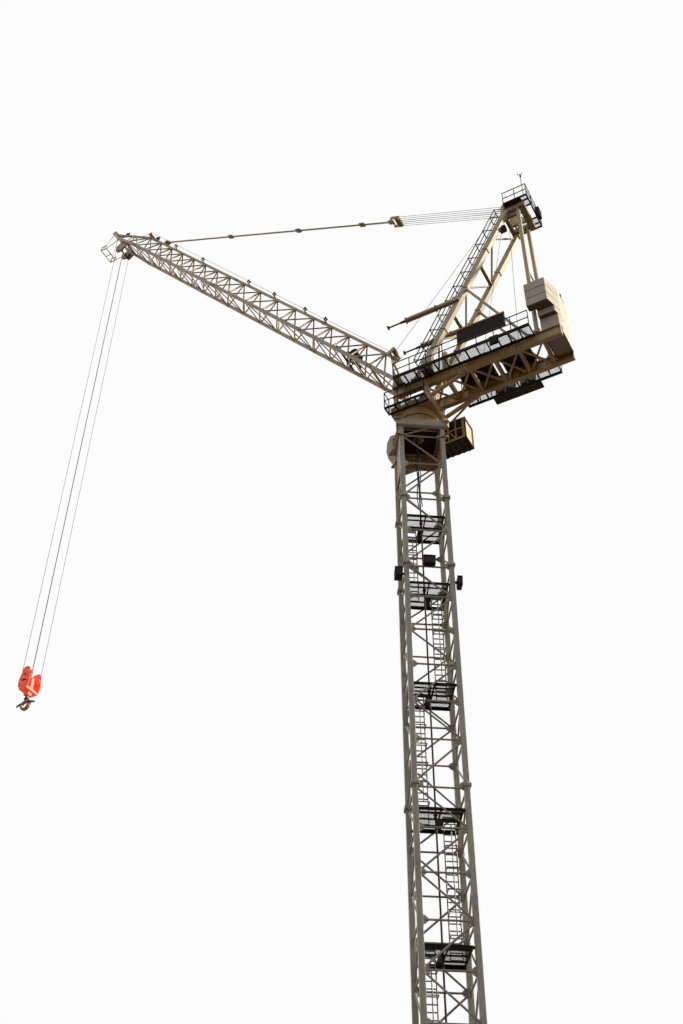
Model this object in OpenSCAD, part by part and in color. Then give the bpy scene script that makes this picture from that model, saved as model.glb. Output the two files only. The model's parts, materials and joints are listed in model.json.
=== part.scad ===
// Luffing tower crane, a 1:10 scale model: 1 mm here stands for 10 mm on the real crane.
// The origin is under the middle of the mast, +X is the way the jib points, +Z is up.

/* [Mast] */
// Leg centre to leg centre
mast_w = 207; // [180:1:230]
// Side of a square leg
leg_w = 22; // [18:1:26]
// Turn of the mast's square against the jib's plane, in degrees
mast_turn = 33; // [0:1:45]
// Height of a regular panel of the lattice
panel_h = 184; // [170:1:200]
// Height of the lowest panel of each long section
low_panel_h = 208; // [190:1:230]
// Height of each panel of the short section
short_panel_h = 211; // [190:1:230]
// Top of the foot piece above the ground
foot_h = 312; // [280:1:340]
// Height of the head piece
head_h = 522; // [500:1:550]
// Thickness of a lattice bar
brace_d = 9; // [7:0.5:11]
// Height of the cross frame under the mast
base_h = 30; // [24:1:40]
// Radius of the anchor bolt holes
anchor_r = 4; // [3:0.5:5]

/* [Slewing] */
// Outer radius of the fixed bearing ring
ring_r = 95; // [85:1:100]
// Height of the turntable's underside above the mast
turntable_lift = 105; // [95:1:120]
// Height of the turntable frame
turntable_h = 50; // [40:1:60]
// Height of the girders' underside above the turntable
post_h = 90; // [80:1:110]

/* [Counterjib] */
// Girder centre to girder centre
girder_gap = 180; // [170:1:190]
// Width of a girder
girder_w = 25; // [20:1:30]
// Depth of a girder
girder_h = 72; // [60:1:80]
// Reach of the girders behind the slewing axis
counterjib_l = 850; // [830:1:880]
// Width of a walkway
walkway_w = 80; // [65:1:90]
// Height of a handrail
rail_h = 110; // [95:1:120]

/* [Frame] */
// Distance of the frame's head behind the slewing axis
head_back = 650; // [630:1:670]
// Height of the frame's head above the girders
head_up = 1143; // [1110:1:1170]
// Side of a front leg
frame_leg_w = 30; // [24:1:36]
// Diameter of a rear tie
tie_d = 24; // [18:1:28]

/* [Jib] */
// Angle of the jib above the horizon, in degrees
luff = 51.3; // [45:0.1:58]
// Lower chord centre to lower chord centre
jib_w = 188; // [170:1:200]
// Upper chord above the lower chords
jib_h = 151; // [130:1:170]
// Side of a lower chord
chord_w = 18; // [14:1:22]
// Side of the upper chord
top_chord_w = 14; // [11:1:18]
// Length of the foot piece
foot_l = 276; // [260:1:290]
// Bay lengths of the three sections
bay_1 = 188; // [180:1:196]
// Bay length of the middle section
bay_2 = 219; // [210:1:228]
// Bay length of the outer section
bay_3 = 178.5; // [170:0.5:186]
// Length of the tip piece
tip_l = 545; // [530:1:565]
// Thickness of a jib lattice bar
lace_d = 9; // [7:0.5:11]
// Radius of the pin at the jib's foot
foot_pin_r = 7; // [6:0.5:8]

/* [Hook] */
// Drop from the tip sheaves to the middle of the hook block
fall_l = 3900; // [3700:10:4000]
// Rope diameter
rope_d = 2.4; // [2:0.1:3]
// Radius of the tip sheaves
sheave_r = 34; // [30:1:36]

/* [Cab] */
// Width of the cab
cab_w = 107; // [95:1:120]
// Height of the cab
cab_h = 220; // [200:1:235]
// Length of the cab
cab_l = 225; // [205:1:240]
// Thickness of the cab's walls
cab_wall = 5; // [4:0.5:7]

/* [Hidden] */

// Gap between pieces that turn or slide on each other
run_gap = 0.3;
// Gap around a pin in its bore
pin_gap = 0.1;
// Sides of a lattice bar
bar_sides = 6;

// Mast
section_h = low_panel_h + 5 * panel_h;
short_z = foot_h + 3 * section_h;
head_z = short_z + 2 * short_panel_h;
mast_top = head_z + head_h;
flange_w = leg_w + 12;
flange_t = 5;
anchor_arm = mast_w / sqrt(2) + 32;
ladder_x = 52;
ladder_y = 52;
cable_x = 14;
cable_y = 30;
section_levels = [for (i = [0:6]) i == 0 ? 0 : low_panel_h + (i - 1) * panel_h];

// Slewing parts
turntable_z = mast_top + turntable_lift;
turntable_front = 100;
turntable_back = 130;
turntable_half = 110;
girder_z = turntable_z + turntable_h + post_h;
girder_top = girder_z + girder_h;
girder_front = 90;
slew_ring_h = 45;
slew_ring_w = 18;
move_gap = 5;
deck_z = girder_top - 10;
deck_in = girder_gap / 2 + girder_w / 2;
rail_t = 4;

// Jib
pivot_x = 58;
pivot_z = girder_top + 53;
jib_s1 = foot_l;
jib_s2 = jib_s1 + 4 * bay_1;
jib_s3 = jib_s2 + 5 * bay_2;
jib_s4 = jib_s3 + 7 * bay_3;
jib_end = jib_s4 + tip_l;
apex_start = foot_l + 44;
eye_t = chord_w;
eye_r = 17;
foot_sheave_n = jib_h + 27;
foot_sheave_r = 14;
roller_r = 9;
tip_axle_s = jib_s4 + 247;
tip_axle_n = -57;
tip_axle_r = 6;
basket_s = jib_s4 + 388;
basket_n = -153;
function jib_point(s, n) = [pivot_x + s * cos(luff) - n * sin(luff), pivot_z + s * sin(luff) + n * cos(luff)];
tip_x = jib_point(tip_axle_s, tip_axle_n)[0];
tip_z = jib_point(tip_axle_s, tip_axle_n)[1];
block_z = tip_z - fall_l;
fall_y = 36;

// Frame
head_x = -head_back;
head_z_top = girder_top + head_up;
leg_foot_x = -50;
leg_foot = [leg_foot_x, girder_top + 8];
leg_top = [head_x, head_z_top - 28];
tie_foot_x = -726;
tie_head_x = -724;
tie_head_y = 78;
head_sheave = [head_x + 10, head_z_top + 120];
head_sheave_r = 17;
block_sheave_r = 15;
luff_ys = [-22, -7.5, 7.5, 22];
lead_y = 44;
rope_lay = rope_d / 2 + 0.6;
pendant_s = jib_s4 - 156;
lug_n = 28;
block_at = 0.7287;
pendant_end = jib_point(pendant_s, jib_h + lug_n);
function on_stay(t) = [pendant_end[0] + t * (head_sheave[0] - pendant_end[0]),
                       pendant_end[1] + t * (head_sheave[1] - pendant_end[1])];
stay_angle = atan2(pendant_end[1] - head_sheave[1], pendant_end[0] - head_sheave[0]);
luff_block = on_stay(block_at);

// Walkways and cabinets: side, middle, length and height of each cabinet
wide_extra = 15;
cabinets = [[1, -130, 60, 95], [-1, -430, 110, 120], [-1, -560, 90, 100]];
cabinet_depth = 44;
cabinet_gap = 3;
cabinet_deck = [-630, 270, 50];

// Cab
cab_x = 40;
cab_y = -165;
cab_z = turntable_z - 55;
cabin_l = 235;
cabin_h = 150;

// Counterweights: rear face, its straight middle, and how far its corners stand forward
weight_back = -counterjib_l - 6;
weight_mid = 66;
weight_corner = 0.3;
weight_base = 138;
weight_h = 60;

// Colours
paint = [0.86, 0.80, 0.66];
dark = [0.12, 0.13, 0.13];
steel = [0.45, 0.46, 0.47];
concrete = [0.78, 0.75, 0.68];

// A straight bar of few sides from point a to point b
module bar(a, b, d, sides = bar_sides) {
    v = b - a;
    l = norm(v);
    translate(a) rotate([0, acos(v[2] / l), atan2(v[1], v[0])])
        cylinder(h = l, d = d, $fn = sides);
}

// A rectangular beam from a to b, w wide across and h deep
module beam(a, b, w, h) {
    v = b - a;
    l = norm(v);
    translate(a) rotate([0, acos(v[2] / l), atan2(v[1], v[0])])
        translate([-h / 2, -w / 2, 0]) cube([h, w, l]);
}

module on_mast() {
    rotate([0, 0, mast_turn]) children();
}

module on_jib() {
    translate([pivot_x, 0, pivot_z]) rotate([0, -luff, 0]) children();
}

// Flat railing in the XY plane: length along X, height along Y
module railing_2d(l, h, posts) {
    step = (l - rail_t) / posts;
    for (i = [0:posts]) translate([i * step, 0]) square([rail_t, h]);
    translate([0, h - rail_t]) square([l, rail_t]);
    translate([0, h / 2 - rail_t / 2]) square([l, rail_t]);
    square([l, 10]);
}

// A railing from the origin along +X, standing up along +Z
module railing(l, h, posts) {
    rotate([90, 0, 0]) linear_extrude(rail_t, center = true) railing_2d(l, h, posts);
}

// A ladder in the XY plane: rungs along X, climbing along Y
module ladder_2d(l, w = 52, stile = 5, pitch = 28, rung = 4) {
    difference() {
        translate([-w / 2, 0]) square([w, l]);
        for (i = [0:floor((l - rung) / pitch) - 1])
            translate([-w / 2 + stile, rung + i * pitch]) square([w - 2 * stile, pitch - rung]);
    }
}

// Lattice of the mast between the heights in zs: legs, level bars and zigzag bars
module mast_lattice(zs) {
    top = zs[len(zs) - 1];
    h = mast_w / 2;
    for (f = [0:3]) rotate([0, 0, 90 * f]) {
        translate([h - leg_w / 2, h - leg_w / 2, zs[0]]) cube([leg_w, leg_w, top - zs[0]]);
        translate([h - flange_w / 2, h - flange_w / 2, zs[0]]) cube([flange_w, flange_w, flange_t]);
        translate([h - flange_w / 2, h - flange_w / 2, top - flange_t])
            cube([flange_w, flange_w, flange_t]);
        for (i = [1:len(zs) - 1]) {
            z = min(zs[i], top - leg_w / 2);
            bar([h, h, z], [-h, h, z], brace_d);
            low = max(zs[i - 1], zs[0] + leg_w / 2);
            if (i % 2 == 1) bar([h, h, low], [-h, h, z], brace_d);
            else bar([-h, h, low], [h, h, z], brace_d);
        }
    }
}

// Crossed beams on the ground with four anchor feet
module base_frame() {
    color(paint) on_mast() difference() {
        union() {
            for (a = [45, 135]) rotate([0, 0, a])
                translate([-anchor_arm + 18, -15, 0]) cube([2 * anchor_arm - 36, 30, base_h]);
            for (a = [45:90:315]) rotate([0, 0, a])
                translate([anchor_arm - 60, -30, 0]) cube([76, 60, 8]);
        }
        for (a = [45:90:315]) rotate([0, 0, a])
            translate([anchor_arm, 0, -1]) cylinder(h = base_h + 2, r = anchor_r, $fn = 24);
    }
}

module mast_foot() {
    color(paint) on_mast() mast_lattice([base_h, foot_h]);
}

module mast_section(i) {
    color(paint) on_mast() translate([0, 0, foot_h + i * section_h]) mast_lattice(section_levels);
}

module mast_section_1() { mast_section(0); }
module mast_section_2() { mast_section(1); }
module mast_section_3() { mast_section(2); }

module mast_short_section() {
    color(paint) on_mast() mast_lattice([short_z, short_z + short_panel_h, head_z]);
}

// The head: two panels, plated sides, a ring of deep beams and the bearing's fixed ring
module mast_head() {
    h = mast_w / 2;
    beam_h = 50;
    mid = head_z + 0.431 * head_h;
    upper = head_z + 0.799 * head_h;
    collar_h = turntable_lift - slew_ring_h - move_gap;
    color(paint) on_mast() difference() {
        union() {
            mast_lattice([head_z, mid, upper, mast_top]);
            for (f = [0:3]) rotate([0, 0, 90 * f]) {
                translate([-h, h - 15, mast_top - beam_h]) cube([mast_w, 30, beam_h]);
                if (f > 0) translate([-h, h - 2, mid]) cube([mast_w, 5, upper - mid]);
                translate([h, h, mast_top - 12]) rotate([0, 0, 45])
                    linear_extrude(8) polygon([[-20, -34], [-20, 34], [48, 6], [48, -6]]);
                translate([h, h, upper - 8]) rotate([0, 0, 45])
                    linear_extrude(6) polygon([[-20, -28], [-20, 28], [34, 5], [34, -5]]);
            }
            translate([-h, -h, mast_top - 10]) cube([mast_w, mast_w, 10]);
            translate([0, 0, mast_top - 5]) cylinder(h = turntable_lift + 5 - 4, r = ring_r, $fn = 72);
            translate([0, 0, mast_top - 5])
                cylinder(h = collar_h + 5, r1 = ring_r + 27, r2 = ring_r + 15, $fn = 72);
        }
        translate([0, 0, mast_top - 20]) cylinder(h = turntable_lift + 40, r = ring_r - 25, $fn = 72);
    }
}

// Ladders climb from landing to landing, on alternate sides, each with a hoop cage
landing_zs = concat([for (i = [0:2], up = [490, 1035]) foot_h + i * section_h + up], [short_z + 315]);

module mast_ladders() {
    w = 52;
    hoop = 4;
    cage_low = 80;
    cage_pitch = 90;
    cage_reach = 40;
    color(steel) on_mast() for (i = [0:len(landing_zs) - 1]) {
        low = i == 0 ? base_h : landing_zs[i - 1];
        side = i % 2 == 0 ? 1 : -1;
        l = landing_zs[i] - low + 40;
        turns = floor((l - cage_low - 30) / cage_pitch);
        translate([side * ladder_x, -ladder_y, low]) {
            rotate([90, 0, 0]) linear_extrude(4) ladder_2d(l, w);
            for (i = [0:turns]) translate([0, 0, cage_low + i * cage_pitch]) difference() {
                translate([-w / 2, 0, 0]) cube([w, cage_reach, hoop - 1]);
                translate([-w / 2 + hoop, -1, -1]) cube([w - 2 * hoop, cage_reach - hoop + 1, hoop + 1]);
            }
            translate([-hoop / 2, cage_reach - hoop, cage_low])
                cube([hoop, hoop - 0.1, turns * cage_pitch + hoop - 1]);
        }
    }
}

// Landings: open frames on two floor beams, with a hatch for the ladder
module mast_landings() {
    h = mast_w / 2 - leg_w / 2;
    hatch_w = 56;
    edge = 6;
    bearer = 5;
    cell = h - edge - bearer / 2;
    color(dark) on_mast() for (i = [0:len(landing_zs) - 1]) {
        side = i % 2 == 0 ? 1 : -1;
        translate([0, 0, landing_zs[i]]) difference() {
            union() {
                translate([-h + 3, -h - 3, -4]) cube([2 * h - 6, 2 * h + 6, 4]);
                for (s = [-1, 1]) translate([-h + 0.2, s * (h + 2.5) - 2, -14]) cube([2 * h - 0.4, 4, 10.5]);
                for (x = [-h + 3, -bearer / 2, h - 8]) translate([x, -h - 2, -10]) cube([bearer, 2 * h + 4, 7]);
            }
            translate([side * ladder_x - hatch_w / 2, -h + 8, -20]) cube([hatch_w, 66, 40]);
            for (q = [[-side, -1], [-1, 1], [1, 1]]) for (span = [[4, ladder_y - 2], [ladder_y + 6, h - edge]])
                translate([q[0] > 0 ? bearer / 2 : 3 - bearer / 2 - cell, q[1] > 0 ? span[0] : -span[1], -20])
                    cube([cell - 3, span[1] - span[0], 40]);
        }
    }
}

// The supply cable hangs down the middle of the mast
module power_cable() {
    color(dark) on_mast() translate([cable_x, cable_y, base_h + 0.2])
        cylinder(h = mast_top - 10.2 - base_h, r = 4, $fn = 24);
}

// Floodlights: one on each side of the mast under the short section, and one at its foot
module mast_lamps() {
    face = mast_w / 2 + leg_w / 2 + 0.2;
    lamp_w = 44;
    lamp_h = 46;
    arm = 10;
    bracket = 8;
    color(steel) on_mast() {
        for (p = [[1, short_z - 62, 34], [-1, short_z - 96, 22]])
            translate([p[0] > 0 ? face : -face - arm - p[2], mast_w / 2, p[1]]) {
                translate([p[0] > 0 ? 0 : p[2] - 1, -bracket / 2, -bracket / 2])
                    cube([arm + 1, bracket, bracket]);
                translate([p[0] > 0 ? arm : 0, -lamp_w / 2, -lamp_h / 2 - 1]) cube([p[2], lamp_w, lamp_h]);
            }
        translate([0, mast_w / 2 + brace_d / 2 + 0.2, short_z - leg_w / 2]) {
            translate([-3, 0, -bracket / 2]) cube([6, arm, bracket]);
            translate([-lamp_w / 2 - 5, arm - 1, -6]) cube([lamp_w + 10, 20, lamp_h]);
        }
    }
}

// Outer ring of the slewing bearing, under the turntable
module slew_ring() {
    color(steel) translate([0, 0, turntable_z - slew_ring_h]) difference() {
        cylinder(h = slew_ring_h - 0.2, r = ring_r + slew_ring_w, $fn = 72);
        translate([0, 0, -1]) cylinder(h = slew_ring_h + 2, r = ring_r + run_gap, $fn = 72);
    }
}

// Open box frame on the bearing with four posts and knee braces up to the girders
module turntable() {
    l = turntable_front + turntable_back;
    g = girder_gap / 2;
    z1 = turntable_z + turntable_h;
    color(paint) {
        difference() {
            translate([-turntable_back, -turntable_half, turntable_z])
                cube([l, 2 * turntable_half, turntable_h]);
            translate([0, 0, turntable_z - 1]) cylinder(h = turntable_h + 2, r = 60, $fn = 48);
            translate([-turntable_back + 14, -turntable_half + 14, turntable_z + 12])
                cube([l - 28, 2 * turntable_half - 28, turntable_h]);
        }
        for (s = [-1, 1]) {
            for (x = [-turntable_back + 14, turntable_front - 42])
                translate([x, s * g - 12, z1 - 6]) cube([28, 24, post_h + 5.8]);
            beam([-turntable_back + 30, s * g, z1 + 6], [-300, s * g, girder_z - 10], 16, 16);
            translate([-316, s * g - 12, girder_z - 16]) cube([32, 24, 15.8]);
        }
    }
}

// Two slewing drives: gearbox, motor and brake one above the other
module slew_drives() {
    gearbox_h = 26;
    motor_h = 60;
    brake_h = 30;
    color(steel) for (p = [[-60, 54], [38, -60]])
        translate([p[0], p[1], turntable_z + 12.2]) {
            cylinder(h = gearbox_h, r = 22, $fn = 36);
            translate([0, 0, gearbox_h]) cylinder(h = motor_h, r = 15, $fn = 36);
            translate([0, 0, gearbox_h + motor_h]) cylinder(h = brake_h, r = 19, $fn = 36);
        }
}

// Service platform beside the turntable, on the left
module service_platform() {
    z = turntable_z + 5;
    y0 = turntable_half;
    w = 58;
    l = 230;
    x0 = turntable_front + 12 - l;
    bays = 4;
    color(dark) {
        for (y = [0.2, w - 7]) translate([x0, y0 + y, z]) cube([l, 7, 10]);
        for (i = [0:bays]) translate([x0 + i * (l - 6) / bays, y0 + 0.2, z]) cube([6, w - 0.2, 9]);
        translate([x0, y0 + w - rail_t / 2, z]) railing(l, rail_h + 12, 3);
        translate([x0 + l - rail_t / 2, y0 + w, z]) rotate([0, 0, -90]) railing(w - 0.2, rail_h + 12, 1);
    }
}

// Two I-beam girders with cross beams and crossed bracing, and the ears of the jib's foot
module counterjib_girders() {
    g = girder_gap / 2;
    l = girder_front + counterjib_l;
    web = 6;
    flange = 6;
    ear_t = 8;
    ear_y = jib_w / 2 + eye_t / 2 + 1;
    cross_pitch = 134;
    cross_w = 16;
    lace = 9;
    crosses = [for (k = [0:5]) 102 - counterjib_l + k * cross_pitch];
    ear_base = 12;
    color(paint) difference() {
        union() {
            for (s = [-1, 1]) translate([0, s * g, 0]) {
                translate([-counterjib_l, -girder_w / 2, girder_z]) cube([l, girder_w, flange]);
                translate([-counterjib_l, -girder_w / 2, girder_top - flange]) cube([l, girder_w, flange]);
                translate([-counterjib_l, -web / 2, girder_z]) cube([l, web, girder_h]);
                for (x = [-counterjib_l:145:girder_front - 40])
                    translate([x, -girder_w / 2 + 1, girder_z]) cube([5, girder_w - 2, girder_h]);
            }
            for (s = [-1, 1]) {
                for (y = [ear_y, ear_y - eye_t - 2 - ear_t])
                    translate([pivot_x, s * (y + ear_t / 2) + ear_t / 2, girder_top]) rotate([90, 0, 0])
                        linear_extrude(ear_t) polygon([[-40, 0], [32, 0], [16, 70], [-16, 70]]);
                translate([pivot_x - 40, s * jib_w / 2 - eye_t / 2 - 9, girder_top - 5])
                    cube([72, eye_t + 18, 10]);
                translate([pivot_x - 40, s * (g + girder_w / 2) - ear_base / 2, girder_top - 24])
                    cube([6, ear_base, 20]);
            }
            for (x = crosses) translate([x - cross_w / 2, -g, girder_z + 6]) cube([cross_w, 2 * g, 34]);
            for (i = [0:len(crosses) - 2]) for (s = [-1, 1])
                beam([crosses[i], -s * g, girder_z + 14], [crosses[i + 1], s * g, girder_z + 14], lace, lace);
        }
        translate([pivot_x, 0, pivot_z]) rotate([90, 0, 0])
            cylinder(h = 300, r = foot_pin_r + pin_gap, center = true, $fn = 36);
    }
}

// Walkway beside the left girder, with its handrail
module walkway(s) {
    front = s > 0 ? 50 : -220;
    back = s > 0 ? 715 : 750;
    w = s > 0 ? walkway_w : walkway_w + wide_extra;
    l = front + back;
    bays = s > 0 ? 13 : 9;
    ear_x = pivot_x - 44;
    ear_w = 16;
    seat = deck_in + 0.3;
    color(dark) {
        translate([0, s > 0 ? seat : -seat - w, 0]) difference() {
            union() {
                for (y = [0, w - 7]) translate([-back, y, deck_z - 12]) cube([l, 7, 12]);
                for (i = [0:bays]) translate([-back + i * (l - 6) / bays, 0, deck_z - 11]) cube([6, w, 10]);
                if (s > 0) translate([ear_x - 6, ear_w, deck_z - 11]) cube([front - ear_x + 6, 6, 10]);
                if (s > 0) translate([ear_x - 6, 0, deck_z - 11]) cube([6, ear_w + 2, 10]);
                if (s < 0) translate([cabinet_deck[0], -cabinet_deck[2], deck_z - 10])
                    cube([cabinet_deck[1], cabinet_deck[2] + 1, 6]);
            }
            if (s > 0) translate([ear_x, -1, deck_z - 20]) cube([front - ear_x + 1, ear_w + 1, 40]);
        }
        translate([-back, s * (seat + w - rail_t / 2), deck_z - 2]) railing(l, rail_h + 2, 8);
        translate([front - rail_t / 2, s > 0 ? seat + w : -seat, deck_z - 2])
            rotate([0, 0, -90]) railing(s > 0 ? w - ear_w : w, rail_h + 2, 1);
    }
}

module walkway_left() { walkway(1); }
module walkway_right() { walkway(-1); }

// Winch on a floor over both girders: drum at x, its cheeks, gearbox and motor
module winch(x, drum_l, drum_r, low, floor_l) {
    w = girder_gap + girder_w - 4;
    z = girder_top + 0.2;
    flange_t = 6;
    cheek_t = 8;
    cheek_y = drum_l / 2 + cheek_t - 1;
    floor_t = 5;
    motor_r = 19;
    motor_l = 40;
    motor_x = x + 24 + floor_l / 4;
    color(dark) {
        translate([x, 0, z + drum_r - low]) rotate([90, 0, 0]) {
            cylinder(h = drum_l, r = drum_r - 8, center = true, $fn = 48);
            for (e = [-1, 1]) translate([0, 0, e * drum_l / 2])
                cylinder(h = flange_t, r = drum_r, center = true, $fn = 48);
        }
        for (e = [-1, 1]) {
            translate([x - 20, e * cheek_y - cheek_t / 2, z]) cube([40, cheek_t, drum_r - low + 14]);
            translate([x - floor_l / 2 + 4, e * cheek_y - 5, z - 14]) cube([floor_l - 8, 10, 16]);
        }
        translate([x - floor_l / 2, -w / 2, z]) cube([floor_l, w, floor_t]);
        translate([x + 30, -drum_l / 2, z + floor_t - 1]) cube([floor_l / 2 - 34, 50, 42]);
        translate([motor_x, drum_l / 2 - 24, z + 30]) rotate([90, 0, 0])
            cylinder(h = motor_l, r = motor_r, center = true, $fn = 36);
        translate([motor_x - 16, drum_l / 2 - 46, z + floor_t - 1]) cube([32, motor_l + 4, 12]);
    }
}

module hoist_winch() { winch(-575, 86, 34, -8, 168); }
module luffing_winch() { winch(-350, 76, 30, -8, 190); }

module control_cabinets() {
    y_left = deck_in + cabinet_gap;
    y_right = -deck_in - walkway_w - wide_extra - cabinet_gap - cabinet_depth;
    color(paint) for (c = cabinets)
        translate([c[1] - c[2] / 2, c[0] > 0 ? y_left : y_right, deck_z + (c[0] > 0 ? 0.2 : -3.8)])
            cube([c[2], cabinet_depth, c[3]]);
}

// Plain board on the left handrail
module name_board() {
    board_l = 268;
    board_h = 102;
    strip_h = 8;
    color(dark) translate([-595, deck_in + 0.3 + walkway_w + 0.2, deck_z + 50]) {
        cube([board_l, 6, board_h]);
        translate([0, 0, board_h]) cube([board_l, 8, strip_h]);
    }
}

// Stacked slabs above the girders' rear ends, the lowest hung between them
module counterweights() {
    gap = 0.3;
    girder_in = girder_gap / 2 - girder_w / 2 - gap;
    deep = 45;
    front = counterjib_l - 138;
    seat = girder_top + 0.2;
    function back(w) = weight_back + max(0, w - weight_mid) * weight_corner;
    module slab(w, x1, notch, h) linear_extrude(h - gap)
        polygon([[x1, -w], [x1, -w + 40], [x1 - notch, -w + 44], [x1 - notch, w - 44], [x1, w - 40], [x1, w],
            [back(w), w], [weight_back, weight_mid], [weight_back, -weight_mid], [back(w), -w]]);
    color(concrete) {
        translate([0, 0, seat - deep]) slab(girder_in, -front - 50, 1, deep + gap - 0.2);
        translate([0, 0, seat]) slab(96, -front - 38, 1, weight_base - deep);
        translate([0, 0, seat + weight_base - deep]) slab(118, -front - 38, 1, deep);
        for (i = [0:2]) translate([0, 0, seat + weight_base + i * weight_h]) slab(172, -front, 38, weight_h);
    }
}

// Two front legs with zigzag bars between them, and struts back down to the girders
module frame_legs() {
    g = girder_gap / 2;
    function leg(t) = leg_foot + t * (leg_top - leg_foot);
    function at(t, y) = [leg(t)[0], y, leg(t)[1]];
    first = 0.08;
    step = 0.1515;
    strut_x = -678;
    color(paint) {
        for (s = [-1, 1]) {
            beam(at(0, s * g), at(1, s * g), frame_leg_w, frame_leg_w);
            translate([leg_foot_x - 32, s * g - 17, girder_top + 0.2]) cube([64, 34, 14]);
            translate([head_x - 17, s * g - 14, head_z_top - 40]) cube([38, 28, 19.8]);
            translate([-332, s * deck_in - 16, girder_top + 496]) cube([38.7, 32, 34]);
            bar([leg(0.53)[0], s * g, leg(0.53)[1]], [strut_x, s * g, girder_top + 8], 16);
            translate([strut_x - 15, s * g - 12, girder_top + 0.2]) cube([30, 24, 12]);
        }
        for (i = [0:5]) {
            y = i % 2 == 0 ? -g : g;
            bar(at(first + i * step, y), at(first + (i + 1) * step, -y), 12);
        }
        for (i = [2, 4]) beam(at(first + i * step, -g), at(first + i * step, g), 18, 18);
    }
}

// Two rear ties from the frame's head down to the girders' rear ends
module frame_ties() {
    y1 = girder_gap / 2 + 6;
    cross_z = girder_top + 560;
    cross_y = tie_head_y + (y1 - tie_head_y) * 0.5 - 1;
    color(paint) {
        for (s = [-1, 1])
            bar([tie_head_x, s * tie_head_y, head_z_top - 14.8],
                [tie_foot_x, s * y1, girder_top + 0.8], tie_d, 8);
        bar([tie_head_x, -cross_y, cross_z], [tie_head_x, cross_y, cross_z], 9);
    }
}

// Cross beams, cheek plates and the rope sheaves on top of the frame
module frame_head() {
    g = girder_gap / 2;
    z = head_z_top;
    rear_x = head_x - 100;
    cheek_y = 33;
    cheek_t = 6;
    sheave_t = 9;
    color(paint) {
        translate([head_x + 2, -g - 15, z - 20]) cube([20, 2 * g + 30, 40]);
        translate([rear_x - 18, -g - 4, z - 14]) cube([36, 2 * g + 8, 34]);
        for (s = [-1, 1]) translate([rear_x, s * tie_head_y - 13, z - 14]) cube([110, 26, 33]);
        for (s = [-1, 1]) translate([0, s * cheek_y + cheek_t / 2, 0]) rotate([90, 0, 0]) linear_extrude(cheek_t)
            polygon([[rear_x, z + 10], [head_x + 22, z + 10], [head_sheave[0] + 16, head_sheave[1] + 14],
                [head_sheave[0] - 16, head_sheave[1] + 14]]);
        for (s = [-1, 1]) translate([rear_x, s * cheek_y - 5, z]) cube([100, 10, 20]);
    }
    color(steel) translate([head_sheave[0], 0, head_sheave[1]]) rotate([90, 0, 0]) {
        for (y = luff_ys) translate([0, 0, -y])
            cylinder(h = sheave_t, r = head_sheave_r, center = true, $fn = 48);
        translate([0, 0, -lead_y]) cylinder(h = sheave_t, r = head_sheave_r, center = true, $fn = 48);
        translate([0, 0, -5]) cylinder(h = 100, r = 7, center = true, $fn = 36);
    }
}

// Open platform round the frame's head, with handrails and a gauge pole
module head_platform() {
    z = head_z_top + 20.3;
    x0 = head_x - 150;
    l = 145;
    w = 250;
    edge = 8;
    hole_y = 46;
    hole_x = 40;
    color(dark) {
        for (y = [-w / 2, w / 2 - edge]) translate([x0, y, z]) cube([l, edge, edge]);
        translate([x0, -w / 2, z]) cube([edge, w, edge]);
        translate([x0 + hole_x, -w / 2, z]) cube([edge, w, edge - 1]);
        for (s = [-1, 1]) {
            translate([x0, s * (hole_y + edge / 2) - edge / 2, z]) cube([l, edge, edge - 1]);
            translate([x0, s * (w / 2 - 34) - edge / 2, z]) cube([hole_x + 2, edge, edge - 1]);
            translate([x0 + l - edge, s > 0 ? hole_y : -w / 2, z]) cube([edge, w / 2 - hole_y, edge]);
            translate([x0, s * (w / 2 - rail_t / 2), z]) railing(l, rail_h, 2);
        }
        translate([x0 + hole_x + edge, hole_y + edge, z + 1])
            cube([l - hole_x - edge, w / 2 - hole_y - edge, 4]);
        translate([x0 + rail_t / 2, -w / 2, z]) rotate([0, 0, 90]) railing(w, rail_h, 3);
        translate([x0 + 20, w / 2 - 3, z]) cylinder(h = rail_h + 100, r = 2, $fn = 12);
        translate([x0 + 20, w / 2 - 3, z + rail_h + 90]) cylinder(h = 16, r = 5, $fn = 24);
    }
}

// Ladder with hoops along the front of the left leg
module frame_ladder() {
    v = leg_top - leg_foot;
    l = norm(v);
    a = atan2(v[1], v[0]);
    w = 58;
    off = 26;
    cage = 66;
    y = girder_gap / 2 - frame_leg_w / 2 + 6 - w / 2;
    first = 150;
    pitch = 110;
    n = floor((l - first - 60) / pitch);
    color(dark) translate([leg_foot[0], y, leg_foot[1]]) rotate([0, -a, 0]) translate([0, 0, -frame_leg_w / 2]) {
        translate([first - 40, 0, -off]) rotate([0, 0, -90]) linear_extrude(4) ladder_2d(l - first - 20, w);
        for (i = [0:n]) translate([first + i * pitch, 0, 0]) {
            difference() {
                translate([0, -w / 2, -off - cage]) cube([4, w, cage]);
                translate([-1, 4 - w / 2, 4 - off - cage]) cube([6, w - 8, cage - 3]);
            }
            translate([0, w / 2 - 5, 3.5 - off]) cube([4, 5, off - 3.8]);
        }
        for (y = [-w / 2, -2, w / 2 - 4]) translate([first, y, -off - cage])
            cube([n * pitch + 4, 4, 3.9]);
    }
}

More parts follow.
